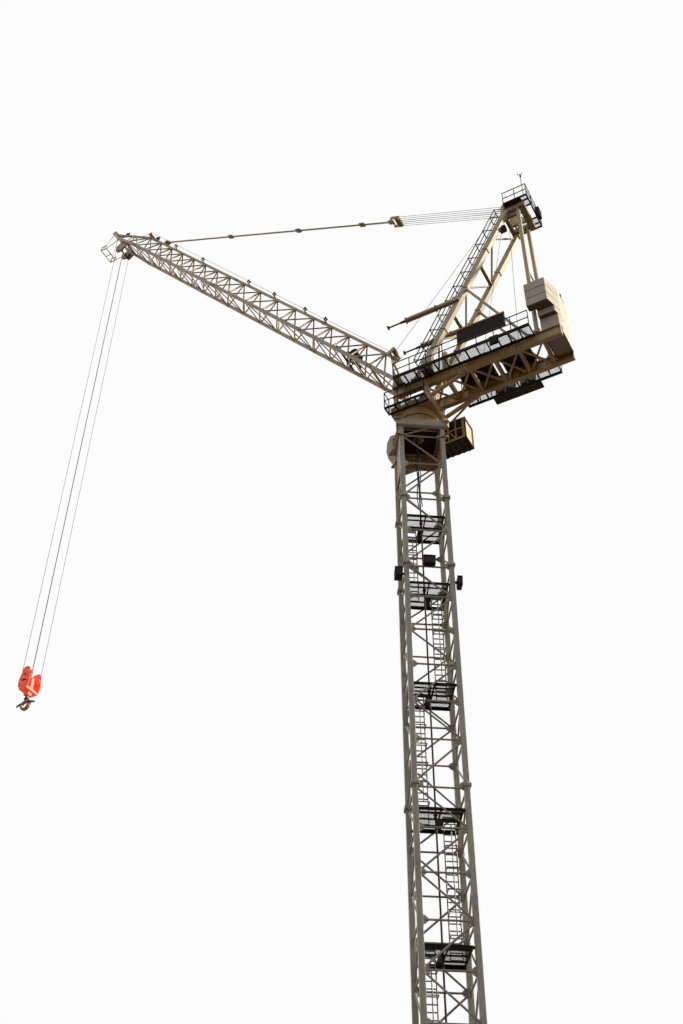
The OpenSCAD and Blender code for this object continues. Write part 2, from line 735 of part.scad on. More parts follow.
// Sprung buffers that stop the jib near its highest angle
module backstops() {
    sleeve_l = 288;
    rod_l = 104;
    mouth = -5;
    color(paint) for (s = [-1, 1]) translate([0, s * deck_in, girder_top + 513]) rotate([0, 90, 0]) {
        translate([0, 0, mouth - sleeve_l]) cylinder(h = sleeve_l, r = 15, $fn = 32);
        for (x = [mouth, mouth - 180]) translate([0, 0, x - 8]) cylinder(h = 8, r = 20, $fn = 32);
        translate([0, 0, mouth]) cylinder(h = rod_l, r = 4, $fn = 32);
        translate([0, 0, mouth + rod_l]) cylinder(h = 8, r = 12, $fn = 32);
    }
}

// The cab hangs on the right, level with the turntable
module cab_profile(inset = 0) {
    offset(delta = -inset) polygon([[0, 0], [cab_l - 45, 0], [cab_l - 12, 50], [cab_l, 110], [cab_l - 6, 175],
        [cab_l - 25, cab_h], [0, cab_h]]);
}

module cab_shell() {
    rim = 9;
    rim_t = 5;
    rib_pitch = 32;
    strut_w = 9;
    color(paint) translate([cab_x, cab_y, cab_z]) {
        difference() {
            rotate([90, 0, 0]) linear_extrude(cab_w) cab_profile();
            translate([0, -cab_wall, 0]) rotate([90, 0, 0])
                linear_extrude(cab_w - 2 * cab_wall) cab_profile(cab_wall);
            translate([cab_l - 70, -cab_w + 10, 55]) cube([120, cab_w - 20, 140]);
            translate([30, -cab_w - 5, 90]) cube([cab_l - 75, cab_w + 10, 100]);
        }
    }
    color(paint) {
        translate([cab_x - cabin_l, cab_y - cab_w, cab_z + 10]) {
            cube([cabin_l, cab_w, cabin_h]);
            translate([-rim_t, 0, 0]) difference() {
                cube([rim_t + 1, cab_w, cabin_h]);
                translate([-1, rim, rim]) cube([rim_t + 3, cab_w - 2 * rim, cabin_h - 2 * rim]);
            }
            for (i = [0:6]) translate([14 + i * rib_pitch, 4, -8]) cube([8, cab_w - 8, 9]);
        }
        translate([-60, cab_y - 5, turntable_z + 10]) cube([120, abs(cab_y) - turntable_half + 4.8, 24]);
        beam([-112, cab_y - 6, cab_z + cabin_h], [-250, cab_y + 14, deck_z - 17], strut_w, strut_w);
        translate([-258, cab_y + 6, deck_z - 22]) cube([16, 16, 9.8]);
    }
}

module cab_glass() {
    color([0.45, 0.6, 0.55, 0.6]) translate([cab_x, cab_y, cab_z]) intersection() {
        difference() {
            rotate([90, 0, 0]) linear_extrude(cab_w) cab_profile(1);
            translate([0, -3, 0]) rotate([90, 0, 0]) linear_extrude(cab_w - 6) cab_profile(3);
        }
        union() {
            translate([cab_l - 69.8, -cab_w + 10.2, 55.2]) cube([120, cab_w - 20.4, 139.6]);
            translate([30.2, -cab_w - 5, 90.2]) cube([cab_l - 75.4, cab_w + 10, 99.6]);
        }
    }
}

module cab_seat() {
    color(dark) translate([cab_x + 55, cab_y - cab_w / 2, cab_z + cab_wall]) {
        translate([-18, -18, 0]) cube([36, 36, 45]);
        translate([-22, -22, 45]) cube([48, 44, 10]);
        translate([-26, -22, 45]) cube([10, 44, 75]);
    }
}

// Bundle of ropes from the frame's head to the luffing block
module luffing_ropes() {
    a = head_sheave;
    b = luff_block;
    n = [-sin(stay_angle), cos(stay_angle)];
    ra = head_sheave_r + rope_lay;
    rb = block_sheave_r + rope_lay;
    color(dark) for (y = luff_ys) for (e = [-1, 1])
        bar([a[0] + e * ra * n[0], y, a[1] + e * ra * n[1]],
            [b[0] + e * rb * n[0], y, b[1] + e * rb * n[1]], rope_d, 6);
}

// Rope from the frame's head down to the jib's foot sheave
module lead_rope() {
    f = jib_point(apex_start - 14, foot_sheave_n);
    v = head_sheave - f;
    n = [v[1], -v[0]] / norm(v);
    rf = foot_sheave_r + rope_lay;
    rh = head_sheave_r + rope_lay;
    color(dark) bar([f[0] - rf * n[0], 26, f[1] - rf * n[1]],
        [head_sheave[0] + rh * n[0], lead_y, head_sheave[1] + rh * n[1]], rope_d, 6);
}

// Ropes from the two winches up to the frame's head
module winch_ropes() {
    r = head_sheave_r + rope_lay;
    color(dark) {
        bar([head_sheave[0] - r, lead_y, head_sheave[1]], [-603.4, 26, girder_top + 42], rope_d, 6);
        bar([head_sheave[0] + r, 0, head_sheave[1]], [-374, -14, girder_top + 40], rope_d, 6);
    }
}

// Lattice of the jib from s0: n bays of length b, three chords, pyramids of four bars and a braced underside
module jib_lattice(s0, n, b, apex_from) {
    h = jib_w / 2;
    l = n * b;
    for (s = [-1, 1]) translate([s0, s * h - chord_w / 2, -chord_w / 2]) cube([l, chord_w, chord_w]);
    translate([apex_from, -top_chord_w / 2, jib_h - top_chord_w / 2])
        cube([s0 + l - apex_from, top_chord_w, top_chord_w]);
    for (i = [0:n - 1]) {
        x = s0 + i * b;
        apex = [x + b / 2, 0, jib_h];
        for (s = [-1, 1]) {
            bar([x + chord_w / 2, s * h, 0], apex, lace_d);
            bar([x + b - chord_w / 2, s * h, 0], apex, lace_d);
        }
        bar([x + chord_w / 2, -h, 0], [x + chord_w / 2, h, 0], lace_d);
        e = i % 2 == 0 ? 1 : -1;
        bar([x + chord_w / 2, -e * h, 0], [x + b - chord_w / 2, e * h, 0], lace_d * 0.8);
    }
}

module jib_section_1() { color(paint) on_jib() jib_lattice(jib_s1, 4, bay_1, apex_start); }
module jib_section_2() { color(paint) on_jib() jib_lattice(jib_s2, 5, bay_2, jib_s2); }
module jib_section_3() { color(paint) on_jib() jib_lattice(jib_s3, 7, bay_3, jib_s3); }

// Foot of the jib: two chords with eyes, end legs up to the upper chord and crossed bars between
module jib_foot() {
    h = jib_w / 2;
    color(paint) on_jib() difference() {
        union() {
            for (s = [-1, 1]) {
                translate([20, s * h - chord_w / 2, -chord_w / 2]) cube([foot_l - 20, chord_w, chord_w]);
                translate([0, s * h, 0]) rotate([90, 0, 0])
                    cylinder(h = eye_t, r = eye_r, center = true, $fn = 48);
                translate([0, s * h - eye_t / 2, -chord_w / 2]) cube([30, eye_t, chord_w]);
                bar([34, s * h, 0], [apex_start - 10, 0, jib_h - 4], 12);
            }
            for (y = [-40, 34]) translate([apex_start - 26, y, jib_h - 11]) cube([24, 6, 50]);
            translate([apex_start - 26, -40, jib_h - 11]) cube([25.8, 80, 12]);
            translate([apex_start - 14, 0, foot_sheave_n]) rotate([90, 0, 0])
                cylinder(h = 76, r = foot_sheave_r, center = true, $fn = 36);
            for (x = [60, foot_l - 8]) bar([x, -h, 0], [x, h, 0], 12);
            bar([60, -h, 0], [foot_l - 8, h, 0], lace_d);
            bar([60, h, 0], [foot_l - 8, -h, 0], lace_d);
        }
        rotate([90, 0, 0]) cylinder(h = 400, r = foot_pin_r, center = true, $fn = 36);
    }
    color(steel) on_jib() for (s = [-1, 1]) translate([0, s * h, 0]) rotate([90, 0, 0])
        cylinder(h = eye_t + 24, r = foot_pin_r, center = true, $fn = 36);
}

// Tip: the lower chords run together and carry the sheave bracket
module jib_tip() {
    h = jib_w / 2;
    knee = jib_s4 + 358;
    end = jib_end - 30;
    apex = [jib_s4 + bay_3 / 2, 0, jib_h];
    mid = apex[0] + 150;
    color(paint) on_jib() difference() {
        union() {
            for (s = [-1, 1]) {
                beam([jib_s4 + 1, s * h, 0], [knee, s * 60, 0], chord_w, chord_w);
                beam([knee - 10, s * 60, 0], [end, s * 24, 34], chord_w - 2, chord_w - 2);
                bar([jib_s4 + chord_w / 2, s * h, 0], apex, lace_d);
                bar([jib_s4 + 170, s * (h - 16), 0], apex, lace_d);
                bar([jib_s4 + 180, s * (h - 16), 0], [mid + 60, 0, jib_h - 36], lace_d);
                bar([knee - 6, s * 60, 0], [mid + 66, 0, jib_h - 40], lace_d);
                translate([tip_axle_s - 60, s * 50 - 4, tip_axle_n - 16]) cube([86, 8, 14 - tip_axle_n]);
                bar([end, s * 24, 24], [basket_s + 4, s * 56, basket_n + 6], 5);
                bar([tip_axle_s + 60, s * 72, -4], [basket_s - 28, s * 58, basket_n + 34], 5);
            }
            translate([jib_s4, -top_chord_w / 2, jib_h - top_chord_w / 2])
                cube([bay_3 / 2 + 4, top_chord_w, top_chord_w]);
            beam(apex, [end, 0, 47], top_chord_w - 1, top_chord_w - 1);
            translate([apex[0] - 12, -34, jib_h + 1]) cube([24, 68, 7]);
            for (y = [-33, 29]) translate([apex[0] - 8, y, jib_h + 4]) cube([16, 4, 20]);
            translate([apex[0], 0, jib_h + 8 + roller_r + 1]) rotate([90, 0, 0])
                cylinder(h = 62, r = roller_r, center = true, $fn = 36);
            for (x = [jib_s4 + chord_w / 2, jib_s4 + 180]) bar([x, -h + 10, 0], [x, h - 10, 0], lace_d);
            bar([jib_s4 + 10, -h, 0], [jib_s4 + 180, h - 14, 0], lace_d * 0.8);
            translate([tip_axle_s - 60, -66, -8]) cube([40, 132, 13]);
            translate([end - 6, -32, 24]) cube([30, 64, 30]);
        }
        translate([tip_axle_s, 0, tip_axle_n]) rotate([90, 0, 0])
            cylinder(h = 200, r = tip_axle_r, center = true, $fn = 36);
    }
    color(paint) on_jib() translate([basket_s, 0, basket_n]) rotate([0, luff, 0]) {
        difference() {
            translate([-44, -62, 0]) cube([52, 124, 6]);
            for (y = [-57, 2]) translate([-39, y, -1]) cube([42, 55, 8]);
        }
        for (x = [-44, 3]) for (y = [-62, 57]) translate([x, y, 1]) cube([5, 5, 44]);
        for (y = [-62, 57]) translate([-44, y, 40]) cube([52, 5, 5]);
    }
    color(steel) on_jib() translate([tip_axle_s, 0, tip_axle_n]) rotate([90, 0, 0])
        cylinder(h = 114, r = tip_axle_r, center = true, $fn = 36);
}

// Small winch in the jib, on two beams across the lower chords
module jib_winch() {
    s = foot_l + 1.5 * bay_1;
    bed_l = 134;
    drum_l = 50;
    color(dark) on_jib() {
        for (x = [-bed_l / 2, bed_l / 2 - 14])
            translate([s + x, -jib_w / 2 - 9, chord_w / 2 + 0.2]) cube([14, jib_w + 18, 9]);
        for (y = [-37, 29]) translate([s - bed_l / 2, y, chord_w / 2 + 9]) cube([bed_l, 8, 9]);
        translate([s, 0, 56]) rotate([90, 0, 0]) {
            cylinder(h = drum_l, r = 20, center = true, $fn = 36);
            for (e = [-1, 1]) translate([0, 0, e * (drum_l / 2 + 2)])
                cylinder(h = 6, r = 30, center = true, $fn = 36);
        }
        for (y = [-36, 30]) translate([s - 10, y, 20]) cube([20, 6, 42]);
    }
}

// Hoist rope above the upper chord, from the foot sheave over a roller down to the tip sheaves
module jib_rope() {
    roller_n = jib_h + 8 + 2 * roller_r + 2.6;
    roller_s = jib_s4 + bay_3 / 2 + 5;
    over = sheave_r + rope_lay;
    color(dark) on_jib() {
        bar([apex_start - 14, 26, foot_sheave_n - foot_sheave_r - rope_lay],
            [roller_s, 26, roller_n], rope_d, 6);
        bar([roller_s, 26, roller_n],
            [tip_axle_s + over * sin(luff), fall_y, tip_axle_n + over * cos(luff)], rope_d, 6);
    }
}

// Pendant bars from the jib's upper chord to the luffing block, joined by pinned links
module pendant_bars() {
    ends = [0.0, 0.223, 0.441, 0.628, block_at - 0.02];
    color(paint) {
        for (s = [-1, 1]) for (i = [0:3]) {
            a = on_stay(ends[i]);
            b = on_stay(ends[i + 1]);
            bar([a[0], s * 12, a[1]], [b[0], s * 12, b[1]], 7);
        }
        for (t = ends) translate([on_stay(t)[0], 0, on_stay(t)[1]]) rotate([0, -stay_angle, 0])
            translate([-10, -18, -5]) cube([20, 36, 10]);
    }
    color(paint) on_jib() {
        translate([pendant_s - 12, -20, jib_h + top_chord_w / 2]) cube([24, 40, 7]);
        for (y = [-19, 13]) translate([pendant_s - 10, y, jib_h + top_chord_w / 2 + 1]) cube([20, 6, lug_n - 8]);
    }
}

// Sheave block at the end of the pendant bars
module luffing_block() {
    color(paint) translate([luff_block[0], 0, luff_block[1]]) rotate([90, 0, 0]) {
        for (y = luff_ys) translate([0, 0, y]) cylinder(h = 9, r = block_sheave_r, center = true, $fn = 48);
        cylinder(h = 76, r = 6, center = true, $fn = 36);
    }
    color(paint) translate([luff_block[0], 0, luff_block[1]]) rotate([0, -stay_angle, 0]) {
        for (y = [-35, 31]) translate([-20, y, -12]) cube([68, 4, 24]);
        translate([38, -33, -6]) cube([9.6, 66, 12]);
    }
}

// Sheaves on the tip axle, which stay level as the jib luffs
module tip_sheaves() {
    color(steel) translate([tip_x, 0, tip_z]) rotate([90, 0, 0]) for (y = [-fall_y, fall_y]) translate([0, 0, y])
        difference() {
            cylinder(h = 12, r = sheave_r, center = true, $fn = 48);
            cylinder(h = 14, r = tip_axle_r + pin_gap, center = true, $fn = 36);
        }
}

// The four falls of the hoist rope
module fall_ropes() {
    color(dark) for (y = [-fall_y, fall_y]) for (e = [-1, 1])
        translate([tip_x + e * (sheave_r + rope_d / 2 + 0.2), y, block_z])
            cylinder(h = fall_l, d = rope_d, $fn = 8);
}

// Hook block: two sheaves between side plates, over the housing of the hook's swivel
module hook_block() {
    half = fall_y + 13;
    plate = 6;
    side = [[-24, 50], [-8, 60], [12, 60], [26, 50], [30, 28], [28, 6], [42, -26], [44, -70], [32, -112],
        [20, -130], [-20, -130], [-32, -112], [-44, -70], [-42, -26], [-28, 6], [-30, 28]];
    color([0.85, 0.25, 0.12]) translate([tip_x, 0, block_z]) difference() {
        union() {
            rotate([90, 0, 0]) {
                for (y = [-fall_y, fall_y]) translate([0, 0, y])
                    cylinder(h = 12, r = sheave_r, center = true, $fn = 48);
                for (y = [-half, half - plate]) translate([0, 0, y]) linear_extrude(plate) polygon(side);
                cylinder(h = 2 * half - 2, r = 6, center = true, $fn = 36);
            }
            translate([-28, 1 - half, -129]) cube([56, 2 * half - 2, 19]);
            translate([-26, -12, -112]) cube([52, 24, 100]);
        }
        translate([0, 0, -131]) cylinder(h = 22, r = 9 + pin_gap, $fn = 36);
        translate([-20, -13, -109.9]) cube([40, 26, 22]);
    }
}

// Hook on its shank, with a crosshead and an open mouth
module hook() {
    body_t = 14;
    color(steel) translate([tip_x, 0, block_z]) {
        translate([0, 0, -152]) cylinder(h = 46, r = 9, $fn = 36);
        translate([0, 0, -109.6]) cylinder(h = 10, r = 16, $fn = 6);
        for (s = [-1, 1]) bar([0, 0, -146], [s * 56, 0, -166], 8);
        translate([0, 0, -175]) rotate([90, 0, 0]) difference() {
            union() {
                cylinder(h = body_t, r = 30, center = true, $fn = 48);
                translate([0, 0, -body_t / 2]) linear_extrude(body_t)
                    polygon([[-29, -6], [-22, -20], [-14, -14], [-30, 16], [-36, 14]]);
            }
            translate([3, 0, 0]) cylinder(h = body_t + 2, r = 17, center = true, $fn = 48);
            translate([-27, 2, -body_t / 2 - 1]) cube([16, 16, body_t + 2]);
        }
    }
}

base_frame();
mast_foot();
mast_section_1();
mast_section_2();
mast_section_3();
mast_short_section();
mast_head();
mast_ladders();
mast_landings();
power_cable();
mast_lamps();
slew_ring();
turntable();
slew_drives();
service_platform();
counterjib_girders();
walkway_left();
walkway_right();
hoist_winch();
luffing_winch();
control_cabinets();
name_board();
counterweights();
frame_legs();
frame_ties();
frame_head();
head_platform();
frame_ladder();
backstops();
cab_shell();
cab_glass();
cab_seat();
luffing_ropes();
lead_rope();
winch_ropes();
jib_foot();
jib_section_1();
jib_section_2();
jib_section_3();
jib_tip();
jib_winch();
jib_rope();
pendant_bars();
luffing_block();
tip_sheaves();
fall_ropes();
hook_block();
hook();
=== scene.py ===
import json
from math import atan2, cos, hypot, pi, radians, sin
import bmesh
import bpy
from mathutils import Matrix, Vector


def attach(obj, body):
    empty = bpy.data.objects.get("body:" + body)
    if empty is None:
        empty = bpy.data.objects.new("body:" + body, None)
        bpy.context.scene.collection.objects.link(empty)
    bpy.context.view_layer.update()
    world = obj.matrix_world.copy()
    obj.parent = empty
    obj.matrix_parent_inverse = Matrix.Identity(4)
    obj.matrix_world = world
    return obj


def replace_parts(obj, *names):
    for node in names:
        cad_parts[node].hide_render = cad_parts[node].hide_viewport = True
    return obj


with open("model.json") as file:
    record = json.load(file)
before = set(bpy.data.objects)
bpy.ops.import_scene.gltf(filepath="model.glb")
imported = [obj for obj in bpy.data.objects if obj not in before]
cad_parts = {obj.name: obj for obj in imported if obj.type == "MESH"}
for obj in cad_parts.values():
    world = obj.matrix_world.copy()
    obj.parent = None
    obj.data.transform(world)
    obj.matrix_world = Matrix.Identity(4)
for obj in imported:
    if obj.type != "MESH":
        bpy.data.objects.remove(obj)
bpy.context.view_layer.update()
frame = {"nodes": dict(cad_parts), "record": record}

scene = bpy.context.scene
CAMERA_AT = (-1.739, 4.002, 0.16)
CAMERA_HEADING = (0.4796, -0.8775)
CAMERA_PITCH, CAMERA_ROLL = radians(42.28), radians(0.52)
FOCAL_LENGTH, SENSOR_WIDTH = 42.43, 36
DIRT_COLOUR = (0.09, 0.075, 0.055, 1)
# Dark brown of the painted shade on faces that look down.
UNDERSIDE_SHADE_COLOUR = (0.085, 0.046, 0.018, 1)
GREASE_COLOUR = (0.03, 0.026, 0.02, 1)
RUNS_DOWN = (1, 1, 0.08)
CORNER_RADIUS = 0.004
RELIEF = 0.0006
DARK_STRAND, LIGHT_STRAND = (0.012, 0.012, 0.012, 1), (0.04, 0.04, 0.04, 1)
CLEAN_GLASS, DUSTY_GLASS = (0.46, 0.62, 0.56, 1), (0.62, 0.68, 0.6, 1)
FLOOR_GREY, FLOOR_PALE, GROUND_COLOUR = (0.74, 0.74, 0.73, 1), (0.8, 0.8, 0.79, 1), (0.22, 0.14, 0.075, 1)
SKY_COLOUR, SKY_STRENGTH, WHITE_BACK = (0.68, 0.80, 1.0, 1), 0.24, (0.97, 0.97, 0.97, 1)
# Colour and strength of the glow on the hook block's red paint: painted light.
HOOK_PAINTED_LIGHT, HOOK_PAINTED_LIGHT_STRENGTH = (1, 0.09, 0.03, 1), 0.42


def set_camera():
    """Low on the ground to the left of the jib, looking up."""
    ahead = Vector((*CAMERA_HEADING, 0))
    right = Vector((ahead.y, -ahead.x, 0))
    look = ahead * cos(CAMERA_PITCH) + Vector((0, 0, sin(CAMERA_PITCH)))
    up = ahead * -sin(CAMERA_PITCH) + Vector((0, 0, cos(CAMERA_PITCH)))
    tilted_right = right * cos(CAMERA_ROLL) + up * sin(CAMERA_ROLL)
    tilted_up = up * cos(CAMERA_ROLL) - right * sin(CAMERA_ROLL)
    camera = bpy.data.objects.new("camera", bpy.data.cameras.new("camera"))
    scene.collection.objects.link(camera)
    rows = [(tilted_right[i], tilted_up[i], -look[i]) for i in range(3)]
    camera.matrix_world = Matrix.Translation(CAMERA_AT) @ Matrix(rows).to_4x4()
    camera.data.sensor_width = SENSOR_WIDTH
    camera.data.lens = FOCAL_LENGTH
    camera.data.clip_start, camera.data.clip_end = 0.05, 200
    scene.camera = camera


def new_group(name, inputs, outputs):
    """An empty node group with sockets of the given kinds, and its input and output nodes."""
    group = bpy.data.node_groups.new(name, "ShaderNodeTree")
    for side, sockets in (("INPUT", inputs), ("OUTPUT", outputs)):
        for label, kind in sockets.items():
            group.interface.new_socket(name=label, in_out=side, socket_type="NodeSocket" + kind)
    return group, group.nodes.new("NodeGroupInput"), group.nodes.new("NodeGroupOutput")


def feed(tree, node, inputs):
    """Link each input that is given as a socket, and set each one that is given as a value."""
    for label, value in inputs.items():
        if isinstance(value, bpy.types.NodeSocket):
            tree.links.new(value, node.inputs[label])
        else:
            node.inputs[label].default_value = value


def add_node(tree, kind, inputs=None, **settings):
    """A shader node of the given kind, with its settings made before its inputs are fed."""
    node = tree.nodes.new("ShaderNode" + kind)
    for name, value in settings.items():
        setattr(node, name, value)
    feed(tree, node, inputs or {})
    return node


def add_texture(tree, kind, scale, **settings):
    """A texture node laid out in the piece's own coordinates."""
    where = add_node(tree, "TexCoord").outputs["Object"]
    return add_node(tree, kind, {"Vector": where, "Scale": scale}, **settings)


def add_noise(tree, scale, detail=6, rough=0.6, stretch=(1, 1, 1)):
    """Noise in the piece's own coordinates, drawn out where stretch is small."""
    where = add_texture(tree, "Mapping", stretch).outputs["Vector"]
    noise = {"Vector": where, "Scale": scale, "Detail": detail, "Roughness": rough}
    return add_node(tree, "TexNoise", noise).outputs["Fac"]


def ramp(tree, value, low, high):
    """0 at low, 1 at high, and held there outside."""
    return add_node(tree, "MapRange", {"Value": value, "From Min": low, "From Max": high}).outputs["Result"]


def math_node(tree, operation, a, b):
    return add_node(tree, "Math", {0: a, 1: b}, operation=operation).outputs[0]


def mix_colour(tree, mask, a, b):
    """Colour a where the mask is 0 and b where it is 1."""
    return add_node(tree, "Mix", {0: mask, 6: a, 7: b}, data_type="RGBA").outputs[2]


def make_weathering_and_shade():
    """Colour patches, streaks of rust and dirt that run down, worn edges, and painted shade that darkens the
    faces that look down.
    """
    group, given, out = new_group(
        "weathering_and_shade", {"Paint": "Color", "Faded": "Color", "Rust": "Color",
                       "Dirt": "Float", "Streaks": "Float", "Wear": "Float", "Underside shade": "Float"},
        {"Color": "Color", "Roughness": "Float", "Height": "Float"})
    amount = given.outputs

    def times(a, b):
        return math_node(group, "MULTIPLY", a, b)

    def plus(a, b):
        return math_node(group, "ADD", a, b)

    patches = ramp(group, add_noise(group, 7, 5), 0.35, 0.7)
    speckle = ramp(group, add_noise(group, 90, 4), 0.55, 0.75)
    runs = ramp(group, add_noise(group, 26, 5, 0.6, RUNS_DOWN), 0.56, 0.78)
    blots = ramp(group, add_noise(group, 30, 8, 0.7), 0.6, 0.72)
    grain = add_noise(group, 260, 3)
    edge = add_node(group, "NewGeometry").outputs["Pointiness"]
    worn = times(times(ramp(group, edge, 0.53, 0.62), speckle), amount["Wear"])
    colour = mix_colour(group, patches, amount["Paint"], amount["Faded"])
    dirt = times(times(patches, speckle), amount["Dirt"])
    colour = mix_colour(group, dirt, colour, DIRT_COLOUR)
    rust = times(math_node(group, "MAXIMUM", runs, blots), amount["Streaks"])
    rust = math_node(group, "MAXIMUM", rust, worn)
    colour = mix_colour(group, rust, colour, amount["Rust"])
    facing = add_node(group, "SeparateXYZ", {0: add_node(group, "TexCoord").outputs["Normal"]})
    # Painted shade: faces that look down are darkened towards a dark brown, by the given amount.
    under = times(ramp(group, facing.outputs["Z"], -0.25, -0.9), amount["Underside shade"])
    under = times(under, ramp(group, patches, -2.0, 0.8))
    feed(group, out, {"Color": mix_colour(group, under, colour, UNDERSIDE_SHADE_COLOUR),
                      "Roughness": plus(plus(times(rust, 0.4), times(grain, 0.2)), 0.32),
                      "Height": plus(times(grain, 0.3), times(rust, 0.7))})
    return group


weathering_and_shade = make_weathering_and_shade()


def new_material(name, constants=None):
    """A material, its node tree and its shader with the given constants."""
    material = bpy.data.materials.new(name)
    material.use_nodes = True
    shader = material.node_tree.nodes["Principled BSDF"]
    feed(material.node_tree, shader, constants or {})
    return material, material.node_tree, shader


def add_bump(tree, shader, height, distance, strength=0.4):
    """Relief on top of normals that are rounded at the corners, so that edges catch the light."""
    rounded = add_node(tree, "Bevel", {"Radius": CORNER_RADIUS}).outputs["Normal"]
    bump = add_node(tree, "Bump", {"Height": height, "Distance": distance, "Strength": strength,
                                   "Normal": rounded})
    feed(tree, shader, {"Normal": bump.outputs["Normal"]})


# under is the strength of the painted shade on faces that look down.
def weathered_and_shaded(name, paint, faded, rust=(0.2, 0.07, 0.025), dirt=0.5, streaks=0.3, wear=0.4, under=0.5,
              metallic=0.0, gloss=0.5):
    """Aged paint or metal: the weathering group with its own colours and amounts."""
    material, tree, shader = new_material(name, {"Metallic": metallic, "Specular IOR Level": gloss})
    use = add_node(tree, "Group", node_tree=weathering_and_shade)
    feed(tree, use, {"Paint": (*paint, 1), "Faded": (*faded, 1), "Rust": (*rust, 1),
                     "Dirt": dirt, "Streaks": streaks, "Wear": wear, "Underside shade": under})
    feed(tree, shader, {"Base Color": use.outputs["Color"], "Roughness": use.outputs["Roughness"]})
    add_bump(tree, shader, use.outputs["Height"], RELIEF)
    return material


def wire_rope():
    """Greasy strands laid at a slant."""
    material, tree, shader = new_material("wire rope", {"Metallic": 0.2, "Specular IOR Level": 0.2})
    wave = add_texture(tree, "TexWave", 90, wave_type="BANDS", bands_direction="DIAGONAL").outputs["Fac"]
    grease = ramp(tree, add_noise(tree, 30), 0.4, 0.65)
    strands = mix_colour(tree, wave, DARK_STRAND, LIGHT_STRAND)
    feed(tree, shader, {"Base Color": mix_colour(tree, grease, strands, GREASE_COLOUR),
                        "Roughness": ramp(tree, grease, -1.2, 2.2)})
    add_bump(tree, shader, wave, RELIEF, 0.6)
    return material


def cab_window():
    """Greenish glass with a thin film of dust."""
    material, tree, shader = new_material("cab window", {"Transmission Weight": 0.85, "IOR": 1.45})
    film = ramp(tree, add_noise(tree, 16, 6), 0.35, 0.8)
    feed(tree, shader, {"Base Color": mix_colour(tree, film, CLEAN_GLASS, DUSTY_GLASS),
                        "Roughness": ramp(tree, film, -0.1, 3.0)})
    return material


def seat_cloth():
    """Dark woven cloth."""
    material, tree, shader = new_material("seat cloth", {"Sheen Weight": 0.3, "Roughness": 0.9})
    weave = add_texture(tree, "TexVoronoi", 500).outputs["Distance"]
    threads = mix_colour(tree, weave, (0.03, 0.03, 0.035, 1), (0.09, 0.09, 0.1, 1))
    feed(tree, shader, {"Base Color": threads})
    add_bump(tree, shader, weave, 0.0004)
    return material


def lamp_lens():
    """Ribbed glass of a lamp that is switched off."""
    material, tree, shader = new_material("lamp lens", {"Specular IOR Level": 0.1, "Roughness": 0.2})
    ribs = add_texture(tree, "TexWave", 90).outputs["Fac"]
    cloudy = ramp(tree, add_noise(tree, 40, 4), 0.3, 0.75)
    bright = mix_colour(tree, ribs, (0.04, 0.035, 0.026, 1), (0.09, 0.08, 0.06, 1))
    feed(tree, shader, {"Base Color": mix_colour(tree, cloudy, bright, GREASE_COLOUR)})
    add_bump(tree, shader, ribs, 0.0008, 0.5)
    return material


cream = weathered_and_shaded("cream paint", (0.74, 0.645, 0.44), (0.62, 0.52, 0.33), dirt=0.5, streaks=0.22, under=1.1)
# Cream paint made greyer as painted shade of the mast, with more dirt and rust streaks on top.
grimy_shaded_cream = weathered_and_shaded("grimy cream paint greyed as painted shade", (0.60, 0.57, 0.46), (0.42, 0.415, 0.35),
                        dirt=0.85, streaks=0.4, under=0.8)
# Cream paint made browner and darker as painted shade, for parts that lie in shade: girders, turntable,
# slewing ring, mast head plates and cabin ribs. Dirt and rust streaks come on top.
shaded_brown_cream = weathered_and_shaded("cream paint browned as painted shade", (0.62, 0.44, 0.22), (0.42, 0.26, 0.11),
                        dirt=0.8, streaks=0.5, under=0.8)
cabinet_paint = weathered_and_shaded("greenish grey paint", (0.50, 0.54, 0.46), (0.38, 0.41, 0.34),
                          dirt=0.6, streaks=0.3, under=0.1)
black = weathered_and_shaded("dull black paint", (0.014, 0.014, 0.014), (0.03, 0.028, 0.025), (0.12, 0.05, 0.02),
                  0.3, 0.15,
                  under=0.1, gloss=0.05)
steel = weathered_and_shaded("greasy steel", (0.22, 0.21, 0.2), (0.12, 0.11, 0.1), dirt=0.6, streaks=0.4, metallic=0.6)
bolt_steel = weathered_and_shaded("bolt steel", (0.30, 0.29, 0.27), (0.2, 0.15, 0.1),
                       dirt=0.5, streaks=0.6, wear=0.6, metallic=0.5)
# under=1.5 paints the weights' undersides fully in the dark brown of painted shade.
weight_paint = weathered_and_shaded("weight paint", (0.74, 0.67, 0.54), (0.62, 0.55, 0.42), (0.3, 0.13, 0.05),
                         0.35, 0.35, under=1.5)
seam_rust = weathered_and_shaded("rusty seam", (0.20, 0.085, 0.035), (0.10, 0.05, 0.025), dirt=0.6, streaks=0.7)
hook_paint = weathered_and_shaded("bright red paint", (0.80, 0.10, 0.03), (0.70, 0.08, 0.03),
                       dirt=0.3, streaks=0.15, under=0.3)
hook_steel = weathered_and_shaded("brown hook steel", (0.34, 0.15, 0.06), (0.2, 0.1, 0.05),
                       dirt=0.5, streaks=0.5, metallic=0.3)
orange = weathered_and_shaded("orange paint", (0.80, 0.36, 0.06), (0.62, 0.26, 0.05), dirt=0.4, streaks=0.25)
grey = weathered_and_shaded("grey trim paint", (0.16, 0.17, 0.18), (0.11, 0.115, 0.12), dirt=0.5, streaks=0.2, gloss=0.2)
rubber = weathered_and_shaded("cable rubber", (0.02, 0.02, 0.02), (0.035, 0.033, 0.03), (0.06, 0.05, 0.04),
                   0.5, 0.1, gloss=0.15)
